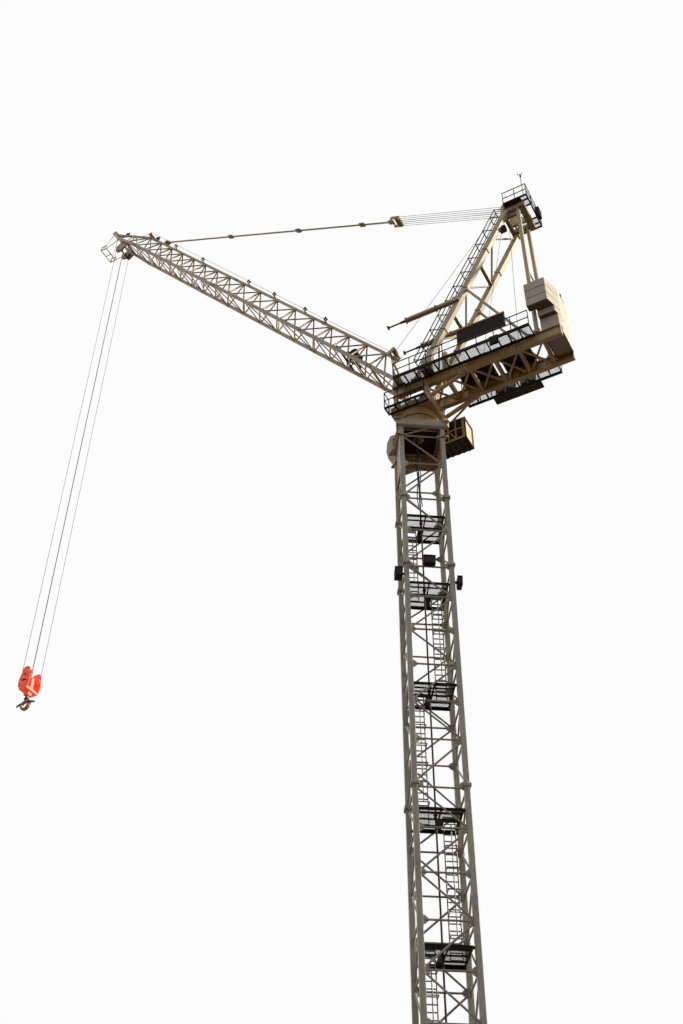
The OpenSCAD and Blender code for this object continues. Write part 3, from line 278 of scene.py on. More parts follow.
# Painted light: the red paint of the hook block glows, which brightens its shaded faces.
feed(hook_paint.node_tree, hook_paint.node_tree.nodes["Principled BSDF"],
     {"Emission Color": HOOK_PAINTED_LIGHT, "Emission Strength": HOOK_PAINTED_LIGHT_STRENGTH})
rope, window, cloth, lens = wire_rope(), cab_window(), seat_cloth(), lamp_lens()

finish_of = {
    "cream_paint": cream, "dark_paint": black, "bare_steel": steel, "wire_rope": rope, "rubber": rubber,
    "glass": window, "fabric": cloth, "weight_paint": weight_paint, "hook_paint": hook_paint,
}
slot_of = {finish.name: slot for slot, finish in finish_of.items()}
slot_of.update({finish.name: "cream_paint" for finish in (grimy_shaded_cream, shaded_brown_cream, orange)})
slot_of.update({bolt_steel.name: "bare_steel", grey.name: "dark_paint", lens.name: "glass",
                seam_rust.name: "weight_paint"})


def dress(obj, material):
    obj.data.materials.clear()
    obj.data.materials.append(material)


for part in frame["record"]["subparts"]:
    dress(frame["nodes"][part["node"]], finish_of[part["material_slot"]])
for material, parts in (
        (shaded_brown_cream, ("mast_head", "slew_ring", "counterjib_girders", "turntable")),
        (grimy_shaded_cream, ("mast_foot", "mast_section_1", "mast_section_2", "mast_section_3",
                       "mast_short_section")),
        (black, ("mast_lamps",)), (cabinet_paint, ("control_cabinets",)), (hook_steel, ("hook",))):
    for part in parts:
        dress(frame["nodes"][part], material)

# Lengths from here on are model millimetres in the part's own frame, until Shape.add makes them metres.
MM = 0.001
MAST_TURN = Matrix.Rotation(radians(33), 4, "Z")
LUFF = radians(51.3)
PIVOT = (58, 5010)
JIB_TURN = Matrix.Translation((PIVOT[0] * MM, 0, PIVOT[1] * MM)) @ Matrix.Rotation(-LUFF, 4, "Y")
CHORD_Y, TOP_CHORD_N = 94, 151
JIB_JOINTS = (276, 1028, 2123, 3372.5)
BACKSTOP_BAY = 1    # the backstops' ends pass this bay's corners, so they get no plates
BAYS = ((276, 4, 188), (1028, 5, 219), (2123, 7, 178.5))
LEG_FOOT, LEG_TOP = (-50, 4965), (-650, 6072)
LEG_LENGTH = hypot(LEG_TOP[0] - LEG_FOOT[0], LEG_TOP[1] - LEG_FOOT[1])
LEG_LEAN = atan2(LEG_TOP[1] - LEG_FOOT[1], LEG_TOP[0] - LEG_FOOT[0])
LEG_TURN = Matrix.Translation((LEG_FOOT[0] * MM, 0, LEG_FOOT[1] * MM)) @ Matrix.Rotation(-LEG_LEAN, 4, "Y")
LANDINGS = (802, 1347, 1930, 2475, 3058, 3603, 4011)
MAST_FACES = [MAST_TURN @ Matrix.Rotation(quarter * pi / 2, 4, "Z") for quarter in range(4)]
MAST_JOINTS = (312, 1440, 2568, 3696, 4118)
SECTION_LEVELS = (0, 208, 392, 576, 760, 944)
HEAD_LEVELS = (4118, 4343, 4535, 4640)
LEG_AT = 103.5
WALKWAY_TOP, SERVICE_TOP, HEAD_FLOOR = 4946.7, 4759.6, 6127
TURNTABLE_TOP, GIRDER_FOOT, WINCH_FLOOR = 4795, 4885, 4957.2
POST_Y = 90
HEAD_SHEAVE = Vector((-640, 0, 6220))
LUFF_YS, FALL_Y = (-22, -7.5, 7.5, 22), 36
ROPE_RADIUS = 1.25
TIP = Vector((2365.55, 0, 7799.13))
BLOCK = Vector((2365.55, 0, 3899.13))


def jib_point(s, n):
    """The point at s along the jib from its pivot and at n square to it."""
    return Vector((PIVOT[0] + s * cos(LUFF) - n * sin(LUFF), 0,
                   PIVOT[1] + s * sin(LUFF) + n * cos(LUFF)))


STAY_FOOT_S = JIB_JOINTS[3] - 156
STAY_END = jib_point(STAY_FOOT_S, TOP_CHORD_N + 28)
STAY = HEAD_SHEAVE - STAY_END
LINK_ENDS = (0.0, 0.223, 0.441, 0.628, 0.7087)
LUFF_BLOCK = STAY_END + STAY * 0.7287


def around(count, radius):
    """Points spread evenly on a circle."""
    turns = [2 * pi * k / count for k in range(count)]
    return [(radius * cos(t), radius * sin(t)) for t in turns]


def corners(dx, dy):
    """The four corners of a rectangle round the middle."""
    return [(x, y) for x in (-dx, dx) for y in (-dy, dy)]


class Shape:
    """A mesh built up in model millimetres, in the frame of the part that it belongs to."""

    def __init__(self, place=None):
        self.place = place or Matrix()
        self.points = []
        self.faces = []

    def add(self, points, faces):
        base = len(self.points)
        self.points += [self.place @ (Vector(p) * MM) for p in points]
        self.faces += [[base + i for i in face] for face in faces]

    def box(self, low, high):
        xs, ys, zs = zip(low, high)
        self.add([(x, y, z) for z in zs for y in ys for x in xs],
                 [(0, 2, 3, 1), (4, 5, 7, 6), (0, 1, 5, 4), (2, 6, 7, 3), (0, 4, 6, 2), (1, 3, 7, 5)])

    def rings(self, rings):
        """Rings of points with the same count, skinned one to the next and closed at both ends."""
        count = len(rings[0])
        last = (len(rings) - 1) * count
        faces = [list(range(count)), list(range(last, last + count))]
        for here in range(0, last, count):
            faces += [(here + i, here + (i + 1) % count, here + count + (i + 1) % count, here + count + i)
                      for i in range(count)]
        self.add([p for ring in rings for p in ring], faces)

    def boxes(self, *spans):
        for low, high in spans:
            self.box(low, high)

    def rod(self, a, b, radius, sides=8, end_radius=None):
        """A round bar from a to b, or a cone where its end has another radius."""
        a, b = Vector(a), Vector(b)
        turn = (b - a).to_track_quat("Z", "Y")
        ends = ((a, radius), (b, radius if end_radius is None else end_radius))
        self.rings([[at + turn @ Vector((x, y, 0)) for x, y in around(sides, r)] for at, r in ends])

    def nut(self, at, axis, radius=3.2, height=2.5):
        """A hexagon nut with the end of its bolt standing out."""
        self.rod(at, Vector(at) + Vector(axis) * height, radius, 6)
        self.rod(at, Vector(at) + Vector(axis) * (height + 1.5), radius * 0.5, 8)

    def plate(self, outline, low, high, across):
        """A flat plate from low to high along one axis, its outline drawn in the other two."""
        at = "xyz".index(across)
        self.rings([[(*p[:at], w, *p[at:]) for p in outline] for w in (low, high)])

    def tube(self, path, radius, sides=6, side=(0, 1, 0)):
        """A bar along a path that doesn't run along side."""
        path = [Vector(p) for p in path]
        rings = []
        for i, at in enumerate(path):
            ahead = (path[min(i + 1, len(path) - 1)] - path[max(i - 1, 0)]).normalized()
            across = (Vector(side) - ahead * ahead.dot(Vector(side))).normalized()
            up = ahead.cross(across)
            rings.append([at + across * x + up * y for x, y in around(sides, radius)])
        self.rings(rings)

    def rope_on_drum(self, centre, length, radius, rope_radius):
        """Close turns of rope on a drum that lies along Y."""
        steps = 20
        count = int(length / (2 * rope_radius)) * steps
        path = []
        for i in range(count + 1):
            t = 2 * pi * i / steps
            path.append((centre[0] + radius * cos(t), centre[1] - length / 2 + length * i / count,
                         centre[2] + radius * sin(t)))
        self.tube(path, rope_radius)

    def turned(self, profile, sides=72):
        """A closed outline of (radius, height) points turned about Z."""
        count = len(profile)
        points = [(radius * x, radius * y, z) for x, y in around(sides, 1) for radius, z in profile]
        faces = []
        for k in range(sides):
            here, there = k * count, (k + 1) % sides * count
            faces += [(here + i, here + (i + 1) % count, there + (i + 1) % count, there + i)
                      for i in range(count)]
        self.add(points, faces)

    def sheave_rims(self, centre, y, half, radius, rim=1.0):
        """Two thin raised discs on the faces of a sheave that turns about Y."""
        for e in (-1, 1):
            face, root = y + e * half, y + e * (half - rim)
            self.rod((centre[0], face, centre[2]), (centre[0], root, centre[2]), radius, 40)

    def make(self, name, body, finish):
        """Turn the shape into a piece that rides on a body."""
        mesh = bpy.data.meshes.new(name)
        mesh.from_pydata(self.points, [], self.faces)
        sound = bmesh.new()
        sound.from_mesh(mesh)
        bmesh.ops.recalc_face_normals(sound, faces=sound.faces)
        sound.to_mesh(mesh)
        sound.free()
        piece = bpy.data.objects.new(name, mesh)
        scene.collection.objects.link(piece)
        dress(piece, finish)
        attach(piece, body)
        return piece


def lay_grating(shape, low, high, top):
    """Upright bars a few millimetres apart, tied by thin cross rods."""
    pitch, half, deep, tie = 3.2, 0.3, 2.4, 8
    for i in range(int((high[0] - low[0]) / pitch)):
        x = low[0] + (i + 0.5) * pitch
        shape.box((x - half, low[1], top - deep), (x + half, high[1], top))
    for i in range(int((high[1] - low[1]) / tie)):
        y = low[1] + (i + 0.5) * tie
        shape.box((low[0], y - half, top - 1.2), (high[0], y + half, top - 0.2))


def floor_gratings():
    """Open gratings of the walkways, the platforms and the mast's landings."""
    deck = Shape()
    for top, *floors in ((WALKWAY_TOP, (-709, 109.3, 14, 176.3), (14, 124.3, 44, 176.3),
                          (-744, -191.3, -226, -109.3)),
                         (SERVICE_TOP, (-112, 116.8, 106, 161.3)),
                         (HEAD_FLOOR, (-792.5, 53.5, -759.5, 117.5), (-792.5, -117.5, -759.5, -53.5),
                          (-752.5, -117.5, -662.5, -53.5))):
        for x0, y0, x1, y1 in floors:
            lay_grating(deck, (x0, y0), (x1, y1), top)
    deck.make("walkway_gratings", "upper", black)
    landings = Shape(MAST_TURN)
    for i, z in enumerate(LANDINGS):
        hatch_side = -1 if i % 2 == 0 else 1
        for x_side, y_side in ((hatch_side, -1), (-1, 1), (1, 1)):
            for near, far in ((4, 50), (58, 86.5)):
                xs = sorted((x_side * 2.5, x_side * 83.5))
                ys = sorted((y_side * near, y_side * far))
                lay_grating(landings, (xs[0], ys[0]), (xs[1], ys[1]), z - 0.4)
    landings.make("landing_gratings", "mast", black)


def mast_fittings():
    """Flange bolts and splice bars at every joint of the mast, and gussets where bars meet the legs."""
    bolts, gussets = Shape(), Shape()
    levels = [joint + level for joint in MAST_JOINTS[:3] for level in SECTION_LEVELS]
    levels += [MAST_JOINTS[3], 3907, *HEAD_LEVELS[:3]]
    for face in MAST_FACES:
        bolts.place = gussets.place = face
        for z in MAST_JOINTS:
            for dx, dy in corners(14, 14):
                x, y = LEG_AT + dx, LEG_AT + dy
                bolts.rod((x, y, z - 12), (x, y, z + 12), 1.6, 8)
                for e in (-1, 1):
                    bolts.nut((x, y, z + e * 5), (0, 0, e), 2.9, 3)
            for e in (-1, 1):
                rib = [(LEG_AT + 11, z + e * 5), (LEG_AT + 16.5, z + e * 5), (LEG_AT + 11, z + e * 26)]
                for across in "yx":
                    gussets.plate(rib, LEG_AT - 1.5, LEG_AT + 1.5, across)
        for z in levels:
            for e in (-1, 1):
                outline = [(93, -20), (93, 20), (84, 16), (72, 5), (72, -5), (84, -16)]
                gussets.plate([(e * x, z + dz) for x, dz in outline], LEG_AT - 1.3, LEG_AT + 1.3, "y")
    bolts.make("mast_flange_bolts", "mast", bolt_steel)
    gussets.make("mast_gussets", "mast", grimy_shaded_cream)


def mast_cables():
    """Clamps that hold the supply cable at every landing, and the loose cables in the mast's head."""
    clamps = Shape(MAST_TURN)
    for z in LANDINGS:
        clamps.boxes(((6, 22, z), (22, 38, z + 9)), ((10, 4, z - 0.5), (18, 24, z + 3)))
        for x in (10, 18):
            clamps.nut((x, 38, z + 4.5), (0, 1, 0), 2)
    clamps.make("cable_clamps", "mast", bolt_steel)
    cables = Shape(MAST_TURN)
    for k, (dx, dy) in enumerate(((-7, 1), (1, 8), (8, -2), (-2, -7))):
        path = [(14 + dx * (1 + 0.5 * sin(k + i)), 30 + dy, 4629 - 36 * i) for i in range(15)]
        cables.tube(path, 2.6, 8)
    cables.make("head_cables", "mast", rubber)


def mast_head():
    """Open lattice of the mast's head, deep beams with skirts, corner plates and the fixed ring on top."""
    bars, skirts, shade_sheet = Shape(), Shape(), Shape()
    h, foot, top = LEG_AT, HEAD_LEVELS[0], HEAD_LEVELS[-1]
    opening, beam_foot, deep_side = 70, top - 50, 3
    turns = [radians(45 - 10 * k) for k in range(10)]
    arc = [(opening * cos(t), opening * sin(t)) for t in turns]
    for quarter, face in enumerate(MAST_FACES):
        bars.place = skirts.place = shade_sheet.place = face
        bars.box((h - 11, h - 11, foot), (h + 11, h + 11, top))
        for z in (foot, top - 5):
            bars.box((h - 17, h - 17, z), (h + 17, h + 17, z + 5))
        for i in (1, 2, 3):
            z, low, e = min(HEAD_LEVELS[i], top - 11), max(HEAD_LEVELS[i - 1], foot + 11), 1 if i % 2 else -1
            bars.rod((h, h, z), (-h, h, z), 4.5, 6)
            bars.rod((e * h, h, low), (-e * h, h, z), 4.5, 6)
        for reach, low, high in ((15, beam_foot, top - 44), (15, top - 6, top - 0.5), (4, beam_foot, top)):
            bars.box((-h, h - reach, low), (h, h + reach, high))
        for x in (-70, -35, 0, 35, 70):
            bars.box((x - 1.5, h - 13, top - 46), (x + 1.5, h + 13, top - 4))
        if quarter:
            low = top - 297 if quarter == deep_side else top - 134
            skirts.box((-h, h - 2, low), (h, h + 2, beam_foot + 2))
            skirts.box((-h, h - 5, low - 4), (h, h + 5, low + 2))
        skirts.plate([(h, -h), (h, h)] + arc, top - 10, top - 0.2, "z")
        # A black sheet under the ring, and black ribs below it, are painted shade for the dark inside of the
        # head.
        inner_arc = [(x * 0.4, y * 0.4) for x, y in arc]
        shade_sheet.plate([(h - 12, 12 - h), (h - 12, h - 12)] + inner_arc, top - 30, top - 26, "z")
        for x in (-60, -20, 20, 60):
            shade_sheet.box((x - 3, 30, top - 36), (x + 3, h - 12, top - 30))
        skirts.place = face @ Matrix.Translation((h * MM, h * MM, 0)) @ Matrix.Rotation(pi / 4, 4, "Z")
        skirts.plate([(-20, -34), (-20, 34), (48, 6), (48, -6)], top - 12, top - 4, "z")
        skirts.plate([(-20, -28), (-20, 28), (34, 5), (34, -5)], 4527, 4533, "z")
    bars.place = MAST_TURN
    near_beam = [(6, -46), (20, -46), (24, -40), (24, -4), (20, 0), (6, 0)]
    bars.plate([(h + dy, top + dz) for dy, dz in near_beam], -h - 12, h + 26, "x")
    for x in (-h - 13, h + 24):
        bars.box((x, h + 4, top - 49), (x + 3, h + 27, top))
    skirts.place = Matrix()
    skirts.turned([(opening, 4625), (opening, 4741), (95, 4741), (95, 4695),
                   (110, 4695), (122, 4640), (122, 4634), (96, 4625)])
    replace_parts(bars.make("mast_head_lattice", "mast", grimy_shaded_cream), "mast_head")
    skirts.make("mast_head_plates", "mast", shaded_brown_cream)
    shade_sheet.make("mast_head_shade_sheet", "mast", black)


def mast_lamp_fronts():
    """Ribbed glass, a hood and cooling fins on each floodlight of the mast."""
    glass, hoods = Shape(MAST_TURN), Shape(MAST_TURN)
    for x0, x1, y0, y1, z0, z1 in ((124.7, 158.7, 81.5, 125.5, 3610, 3656),
                                   (-27, 27, 117.2, 137.2, 3679, 3725),
                                   (-146.7, -124.7, 81.5, 125.5, 3576, 3622)):
        glass.box((x0 + 3, y1 - 0.5, z0 + 4), (x1 - 3, y1 + 1.2, z1 - 4))
        hoods.box((x0 - 1, y1 - 2, z1 - 2), (x1 + 1, y1 + 4, z1 + 1))
        for e, x in ((-1, x0), (1, x1)):
            hoods.plate([(y1 - 2, z1 + 1), (y1 + 4, z1 + 1), (y1 - 2, z0 + 6)], x - 0.9, x + 0.9, "x")
        for k in range(6):
            x = x0 + 3 + k * (x1 - x0 - 6) / 5
            hoods.box((x - 0.8, y0 - 6, z0 + 3), (x + 0.8, y0 + 1, z1 - 3))
        for z in (z0 + 3, z1 - 3):
            hoods.box((x0 + 2, y1, z - 1), (x1 - 2, y1 + 2, z + 1))
    glass.make("mast_lamp_glass", "mast", lens)
    hoods.make("mast_lamp_hoods", "mast", black)


def slewing_fittings():
    """Bolts round the bearing ring, bolted feet of the posts, and plates at the knees."""
    bolts, plates = Shape(), Shape()
    for x, y in around(36, 104.5):
        bolts.nut((x, y, 4700), (0, 0, -1), 3.2, 1.6)
    foot = TURNTABLE_TOP + 5
    for s in (-1, 1):
        for x in (-102, 72):
            y = s * POST_Y
            plates.boxes(((x - 21, y - 18, TURNTABLE_TOP), (x + 21, y + 18, foot)),
                         ((x - 19, y - 15, GIRDER_FOOT - 5), (x + 19, y + 15, GIRDER_FOOT - 0.2)))
            for dx, dy in corners(17, 14):
                bolts.nut((x + dx, y + dy, foot), (0, 0, 1), 2.6, 2.5)
            for e in (-1, 1):
                rib = [(x + e * 13, foot), (x + e * 20, foot), (x + e * 13, foot + 22)]
                plates.plate(rib, y - 1.5, y + 1.5, "y")
        for x in (-290, -560):
            plates.boxes(((x - 40, s * 93 - 1, 4894), (x + 40, s * 93 + 2, 4948)),
                         ((x - 40, s * 87 - 2, 4894), (x + 40, s * 87 + 1, 4948)))
            for i in range(4):
                for z in (4903, 4921, 4939):
                    for out, y in ((s, s * 95), (-s, s * 85)):
                        bolts.nut((x - 30 + i * 20, y, z), (0, out, 0), 2.4, 2)
        bolts.nut((PIVOT[0], s * 107.5, PIVOT[1]), (0, s, 0), 9, 5)
    bolts.make("slewing_bolts", "upper", bolt_steel)
    plates.make("girder_plates", "upper", cream)


def board_trim():
    """Orange strip and thin grey frame of the plain board, with its rivets and brackets."""
    strip, trim = Shape(), Shape()
    strip.box((-595.5, 182.6, 5098.6), (-326.5, 191.5, 5107.6))
    for k in range(9):
        strip.box((-590 + k * 32.3, 191.3, 5100.5), (-586 + k * 32.3, 192.3, 5105.5))
    x0, x1, z0, z1, y = -595.4, -326.6, 4996.6, 5098.5, 189
    trim.boxes(((x0, y - 6.3, z0), (x0 + 5, y + 1.6, z1)), ((x1 - 5, y - 6.3, z0), (x1, y + 1.6, z1)),
               ((x0, y - 6.3, z0), (x1, y + 1.6, z0 + 4)))
    for k in range(14):
        for z in (z0 + 9, z1 - 6):
            trim.rod((x0 + 14 + k * 18.5, y - 0.2, z), (x0 + 14 + k * 18.5, y + 0.8, z), 1.3, 8)
    for k in range(5):
        x = x0 + 20 + k * 56
        trim.box((x, 178.8, z0 + 30), (x + 5, 183.2, z0 + 96))
    strip.make("board_strip", "upper", orange)
    trim.make("board_frame", "upper", grey)


def winch_details():
    """Rope on the drums, finned motors and bolted gearboxes of both winches, and a box on the left rail."""
    parts, bolts = Shape(), Shape()
    for name, x, drum, floor, r in (("hoist_drum_rope", -575, 86, 168, 34),
                                    ("luffing_drum_rope", -350, 76, 190, 30)):
        axle = WINCH_FLOOR + r + 8
        coil = Shape()
        coil.rope_on_drum((x, 0, axle), drum - 6, r - 6.8, ROPE_RADIUS)
        coil.make(name, "upper", rope)
        mx, my, mz = x + 24 + floor / 4, drum / 2 - 24, WINCH_FLOOR + 30
        for k in range(12):
            parts.rod((mx, my - 17 + k * 3, mz), (mx, my - 16 + k * 3, mz), 20.8, 24)
        parts.box((mx - 7, my - 10, mz + 18), (mx + 7, my + 8, mz + 26))
        parts.rod((mx, my + 20, mz), (mx, my + 27, mz), 16, 24, 13)
        for e in (-1, 1):
            cheek, cap = e * (drum / 2 + 3), e * (drum / 2 + 15)
            parts.rod((x, e * (drum / 2 + 11), axle), (x, cap, axle), 11, 20)
            for dx, dz in around(6, 8):
                bolts.nut((x + dx, cap, axle + dz), (0, e, 0), 1.6, 1.5)
            for dx, dz in around(10, r - 4):
                bolts.nut((x + dx, cheek, axle + dz), (0, e, 0), 1.5, 1)
        first, last, side = x + 30, x + floor / 2 - 4, -drum / 2
        parts.box((first - 1, side - 1.5, 4984), (last + 1, side + 51.5, 4988))
        for k in range(5):
            bolts.nut((first + 4 + k * (last - first - 8) / 4, side + 3, 5003.2), (0, 0, 1), 2, 1.6)
    x, y, z = -520, 171, 4934
    parts.boxes(((x - 24, y, z - 30), (x + 24, y + 10, z + 30)),
                ((x - 20, y + 10, z - 26), (x + 20, y + 12, z + 26)))
    parts.make("winch_motor_fins", "upper", black)
    bolts.make("winch_bolts", "upper", bolt_steel)


def winch_oil_tank():
    """Tall tank behind the posts, on a base plate that lies on the left girder."""
    x, y, tank = -205, 58, Shape()
    profile = ((24, 4957.3), (24, 4961), (19, 4961.5), (19, 5112), (17, 5122), (11, 5130), (7, 5134))
    tank.rings([[(x + dx, y + dy, z) for dx, dy in around(28, r)] for r, z in profile])
    tank.rod((x, y, 5133), (x, y, 5141), 6, 16, 5)
    for z in (5000, 5060):
        tank.rod((x, y, z), (x, y, z + 4), 20, 28)
    tank.box((x - 27, y - 26, WINCH_FLOOR), (x + 27, y + 42, WINCH_FLOOR + 4))
    tank.make("winch_oil_tank", "upper", cream)


def jib_winch_details():
    """Rope, flange bolts and finned motor of the small winch in the jib."""
    s, n, motor, motor_n = 558, 56, 594, 40
    coil, wheel = Shape(JIB_TURN), Shape(JIB_TURN)
    coil.rope_on_drum((s, 0, n), 48, 21.2, ROPE_RADIUS)
    coil.make("jib_drum_rope", "jib", rope)
    for e in (-1, 1):
        wheel.rod((s, e * 30, n), (s, e * 33, n), 12, 24)
        for ds, dn in around(8, 25):
            wheel.nut((s + ds, e * 30, n + dn), (0, e, 0), 1.8, 1.2)
    wheel.rod((motor, -24, motor_n), (motor, 20, motor_n), 15, 24)
    for k in range(11):
        y = -22 + 3.6 * k
        wheel.rod((motor, y, motor_n), (motor, y + 1, motor_n), 16.6, 24)
    wheel.box((motor - 14, -22, 27), (motor + 14, 18, 32))
    wheel.make("jib_winch_motor", "jib", black)


def cabinet_doors():
    """Doors with handles, hinges and louvres, and an overhanging roof, on each control cabinet."""
    doors, fittings = Shape(), Shape()
    for x0, x1, y0, y1, z0, z1 in ((-160, -100, 105.5, 149.5, 4947.2, 5042.2),
                                   (-485, -375, -244.5, -200.5, 4943.2, 5063.2),
                                   (-605, -515, -244.5, -200.5, 4943.2, 5043.2)):
        doors.boxes(((x0 - 2.5, y0 - 2.5, z1), (x1 + 2.5, y1 + 2.5, z1 + 2.5)),
                    ((x0 + 4, y0 + 4, z1 + 2.5), (x1 - 4, y1 - 4, z1 + 5)))
        middle, half_way = (x0 + x1) / 2, (z0 + z1) / 2
        for e, y in ((-1, y0), (1, y1)):
            for a, b in ((x0 + 3, middle - 0.8), (middle + 0.8, x1 - 3)):
                doors.box((a, y, z0 + 5), (b, y + e * 1.4, z1 - 3))
                for k in range(6):
                    z = z0 + 14 + k * 3.4
                    fittings.box((a + 6, y + e, z), (b - 6, y + e * 2.4, z + 1.6))
            fittings.box((middle - 5, y + e, half_way), (middle - 3, y + e * 4, half_way + 14))
            for x in (x0 + 2, x1 - 2):
                for z in (z0 + 16, z1 - 16):
                    fittings.rod((x, y + e * 1.2, z - 4), (x, y + e * 1.2, z + 4), 1.3, 8)
    doors.make("cabinet_doors", "upper", cream)
    fittings.make("cabinet_fittings", "upper", black)


def cab_window_bars():
    """Rubbers round the cab's side windows, and bars and wiper of its front window."""
    trim = Shape()
    for y0, y1 in ((-166, -163.6), (-271.9, -271)):
        for x0, x1, z0, z1 in ((68, 222, 4778, 4782), (68, 222, 4878, 4882), (68, 72, 4778, 4882),
                               (218, 222, 4778, 4882), (143, 147, 4780, 4880)):
            trim.box((x0, y0, z0), (x1, y1, z1))
    profile = [(249, 4745), (254.6, 4754), (265.6, 4800), (262.6, 4832), (259.6, 4865), (251.5, 4884)]
    left, middle, right = -262, -218.5, -175
    for y in (left, middle, right):
        trim.tube([(x, y, z) for x, z in profile], 2.2, 6)
    for x, z in (profile[0], profile[2], profile[5]):
        trim.rod((x, left, z), (x, right, z), 2.2, 8)
    trim.tube([(x + 3, -205, z) for x, z in profile[1:4]], 1.0, 6)
    trim.rod((257, -218, 4752), (258.6, -205, 4760), 1.4, 8)
    trim.make("cab_window_bars", "upper", rubber)


def cabin_walls():
    """Black frame, floor and side of the room behind the cab, and the ribs that stand on that side. The black
    floor and the ribs under it are painted shade on the room's underside; the black side is partly a dark
    window, partly painted shade.
    """
    room, ribs, wall = Shape(), Shape(), -165.4
    x0, x1, y0, y1, z0, z1 = -200.4, -194, -272, -165, 4700, 4850
    # The black floor plate below is painted shade on the room's underside, and so are the ribs under it.
    room.boxes(((x0, y0, z0), (x1, y0 + 8, z1)), ((x0, y1 - 8, z0), (x1, y1, z1)),
               ((x0, y0, z0 - 0.4), (x1, y1, z0 + 8)), ((x0, y0, z1 - 8), (x1, y1, z1 + 0.4)),
               ((-194.5, -271.8, 4699), (39.5, -165.2, 4700.4)))
    for k in range(7):
        x = -181 + 32 * k
        room.box((x - 0.5, -268.5, 4691.4), (x + 8.5, -168.5, 4700))
    for k in range(9):
        room.box((-120 + 6 * k, wall, 4800), (-117 + 6 * k, wall + 1.6, 4836))
    for x in (-60, -10):
        room.box((x, wall, 4712), (x + 1.5, wall + 1.5, 4838))
    # The black sheet on the near side stands for a dark window and is partly painted shade.
    room.boxes(((-60, wall, 4836.5), (-8.5, wall + 1.5, 4838)), ((-22, wall, 4770), (-19, wall + 3.6, 4784)),
               ((-187, -165.2, 4708), (32, -164.4, 4843)))
    room.make("cabin_frame", "upper", black)
    for x in (-188, -148, -106, -66, -4, 28):
        ribs.box((x, -165.2, 4704), (x + 6, -161.5, 4848))
    for z in (4704, 4772, 4842):
        ribs.box((-188, -165.2, z), (34, -162.3, z + 6))
    ribs.rod((-142, -162.6, 4708), (-66, -162.6, 4846), 3, 8)
    ribs.make("cabin_side_ribs", "upper", shaded_brown_cream)


def cab_desk():
    """Desk under the front window and a lever on each armrest."""
    desk = Shape()
    desk.box((150, -262, 4698), (180, -176, 4735))
    desk.plate([(150, 4735), (180, 4735), (186, 4752), (178, 4752)], -250, -188, "y")
    for y in (-242, -196):
        desk.box((92, y - 6, 4740), (132, y + 6, 4752))
        desk.rod((120, y, 4752), (122, y, 4768), 1.6, 8)
        desk.rod((122, y, 4768), (122.4, y, 4774), 3, 10)
    desk.make("cab_desk", "upper", rubber)


def weight_outline(half, front, notch, inset):
    """Plan of a counterweight slab: a recess in its front, and rear corners that stand forward."""
    rear, mid = -856 + inset, 66
    corner = rear + (half - mid) * 0.3
    half -= inset
    front -= inset
    if not notch:
        return [(front, -half), (front, half), (corner, half), (rear, mid), (rear, -mid), (corner, -half)]
    return [(front, -half), (front, 40 - half - 2 * inset), (front - notch, 44 - half - 2 * inset),
            (front - notch, half - 44 + 2 * inset), (front, half - 40 + 2 * inset), (front, half),
            (corner, half), (rear, mid), (rear, -mid), (corner, -half)]


def weights():
    """Stacked slabs with chamfered edges, rusty joints, lifting eyes and a bracket on the rear edge."""
    slabs, joints, iron = Shape(), Shape(), Shape()
    bevel, top = 2.6, 5274.9
    stack = [(77.2, -762, 0, 4912.4, 4956.9), (96, -750, 0, 4957.2, 5049.9), (118, -750, 0, 5050.2, 5094.9)]
    stack += [(172, -712, 38, 5095.2 + 60 * i, 5154.9 + 60 * i) for i in range(3)]
    for half, front, notch, z0, z1 in stack:
        for shape, levels in ((slabs, ((z0, bevel), (z0 + bevel, 0), (z1 - bevel, 0), (z1, bevel))),
                              (joints, ((z1 - 1.2, 1.4), (z1 + 0.2, 1.4)))):
            shape.rings([[(x, y, z) for x, y in weight_outline(half, front, notch, inset)]
                         for z, inset in levels])
    for x in (-735, -815):
        for y in (-120, 120):
            arch = [(x, y + 9 * cos(t), top + 14 * sin(t)) for t in (pi * k / 8 for k in range(9))]
            iron.tube(arch, 2, 8, (1, 0, 0))
            iron.box((x - 6, y - 13, top - 0.2), (x + 6, y + 13, top + 1.5))
    iron.box((-850, -62, 5274.6), (-838, -4, 5279))
    for y in (-58, -12):
        iron.box((-850, y, 5278), (-844, y + 5, 5302))
    iron.box((-853, -60, 5290), (-846, -6, 5306))
    iron.box((-855, -20, 5304), (-849, -8, 5322))
    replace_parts(slabs.make("weight_slabs", "upper", weight_paint), "counterweights")
    joints.make("weight_joints", "upper", seam_rust)
    iron.make("weight_irons", "upper", black)


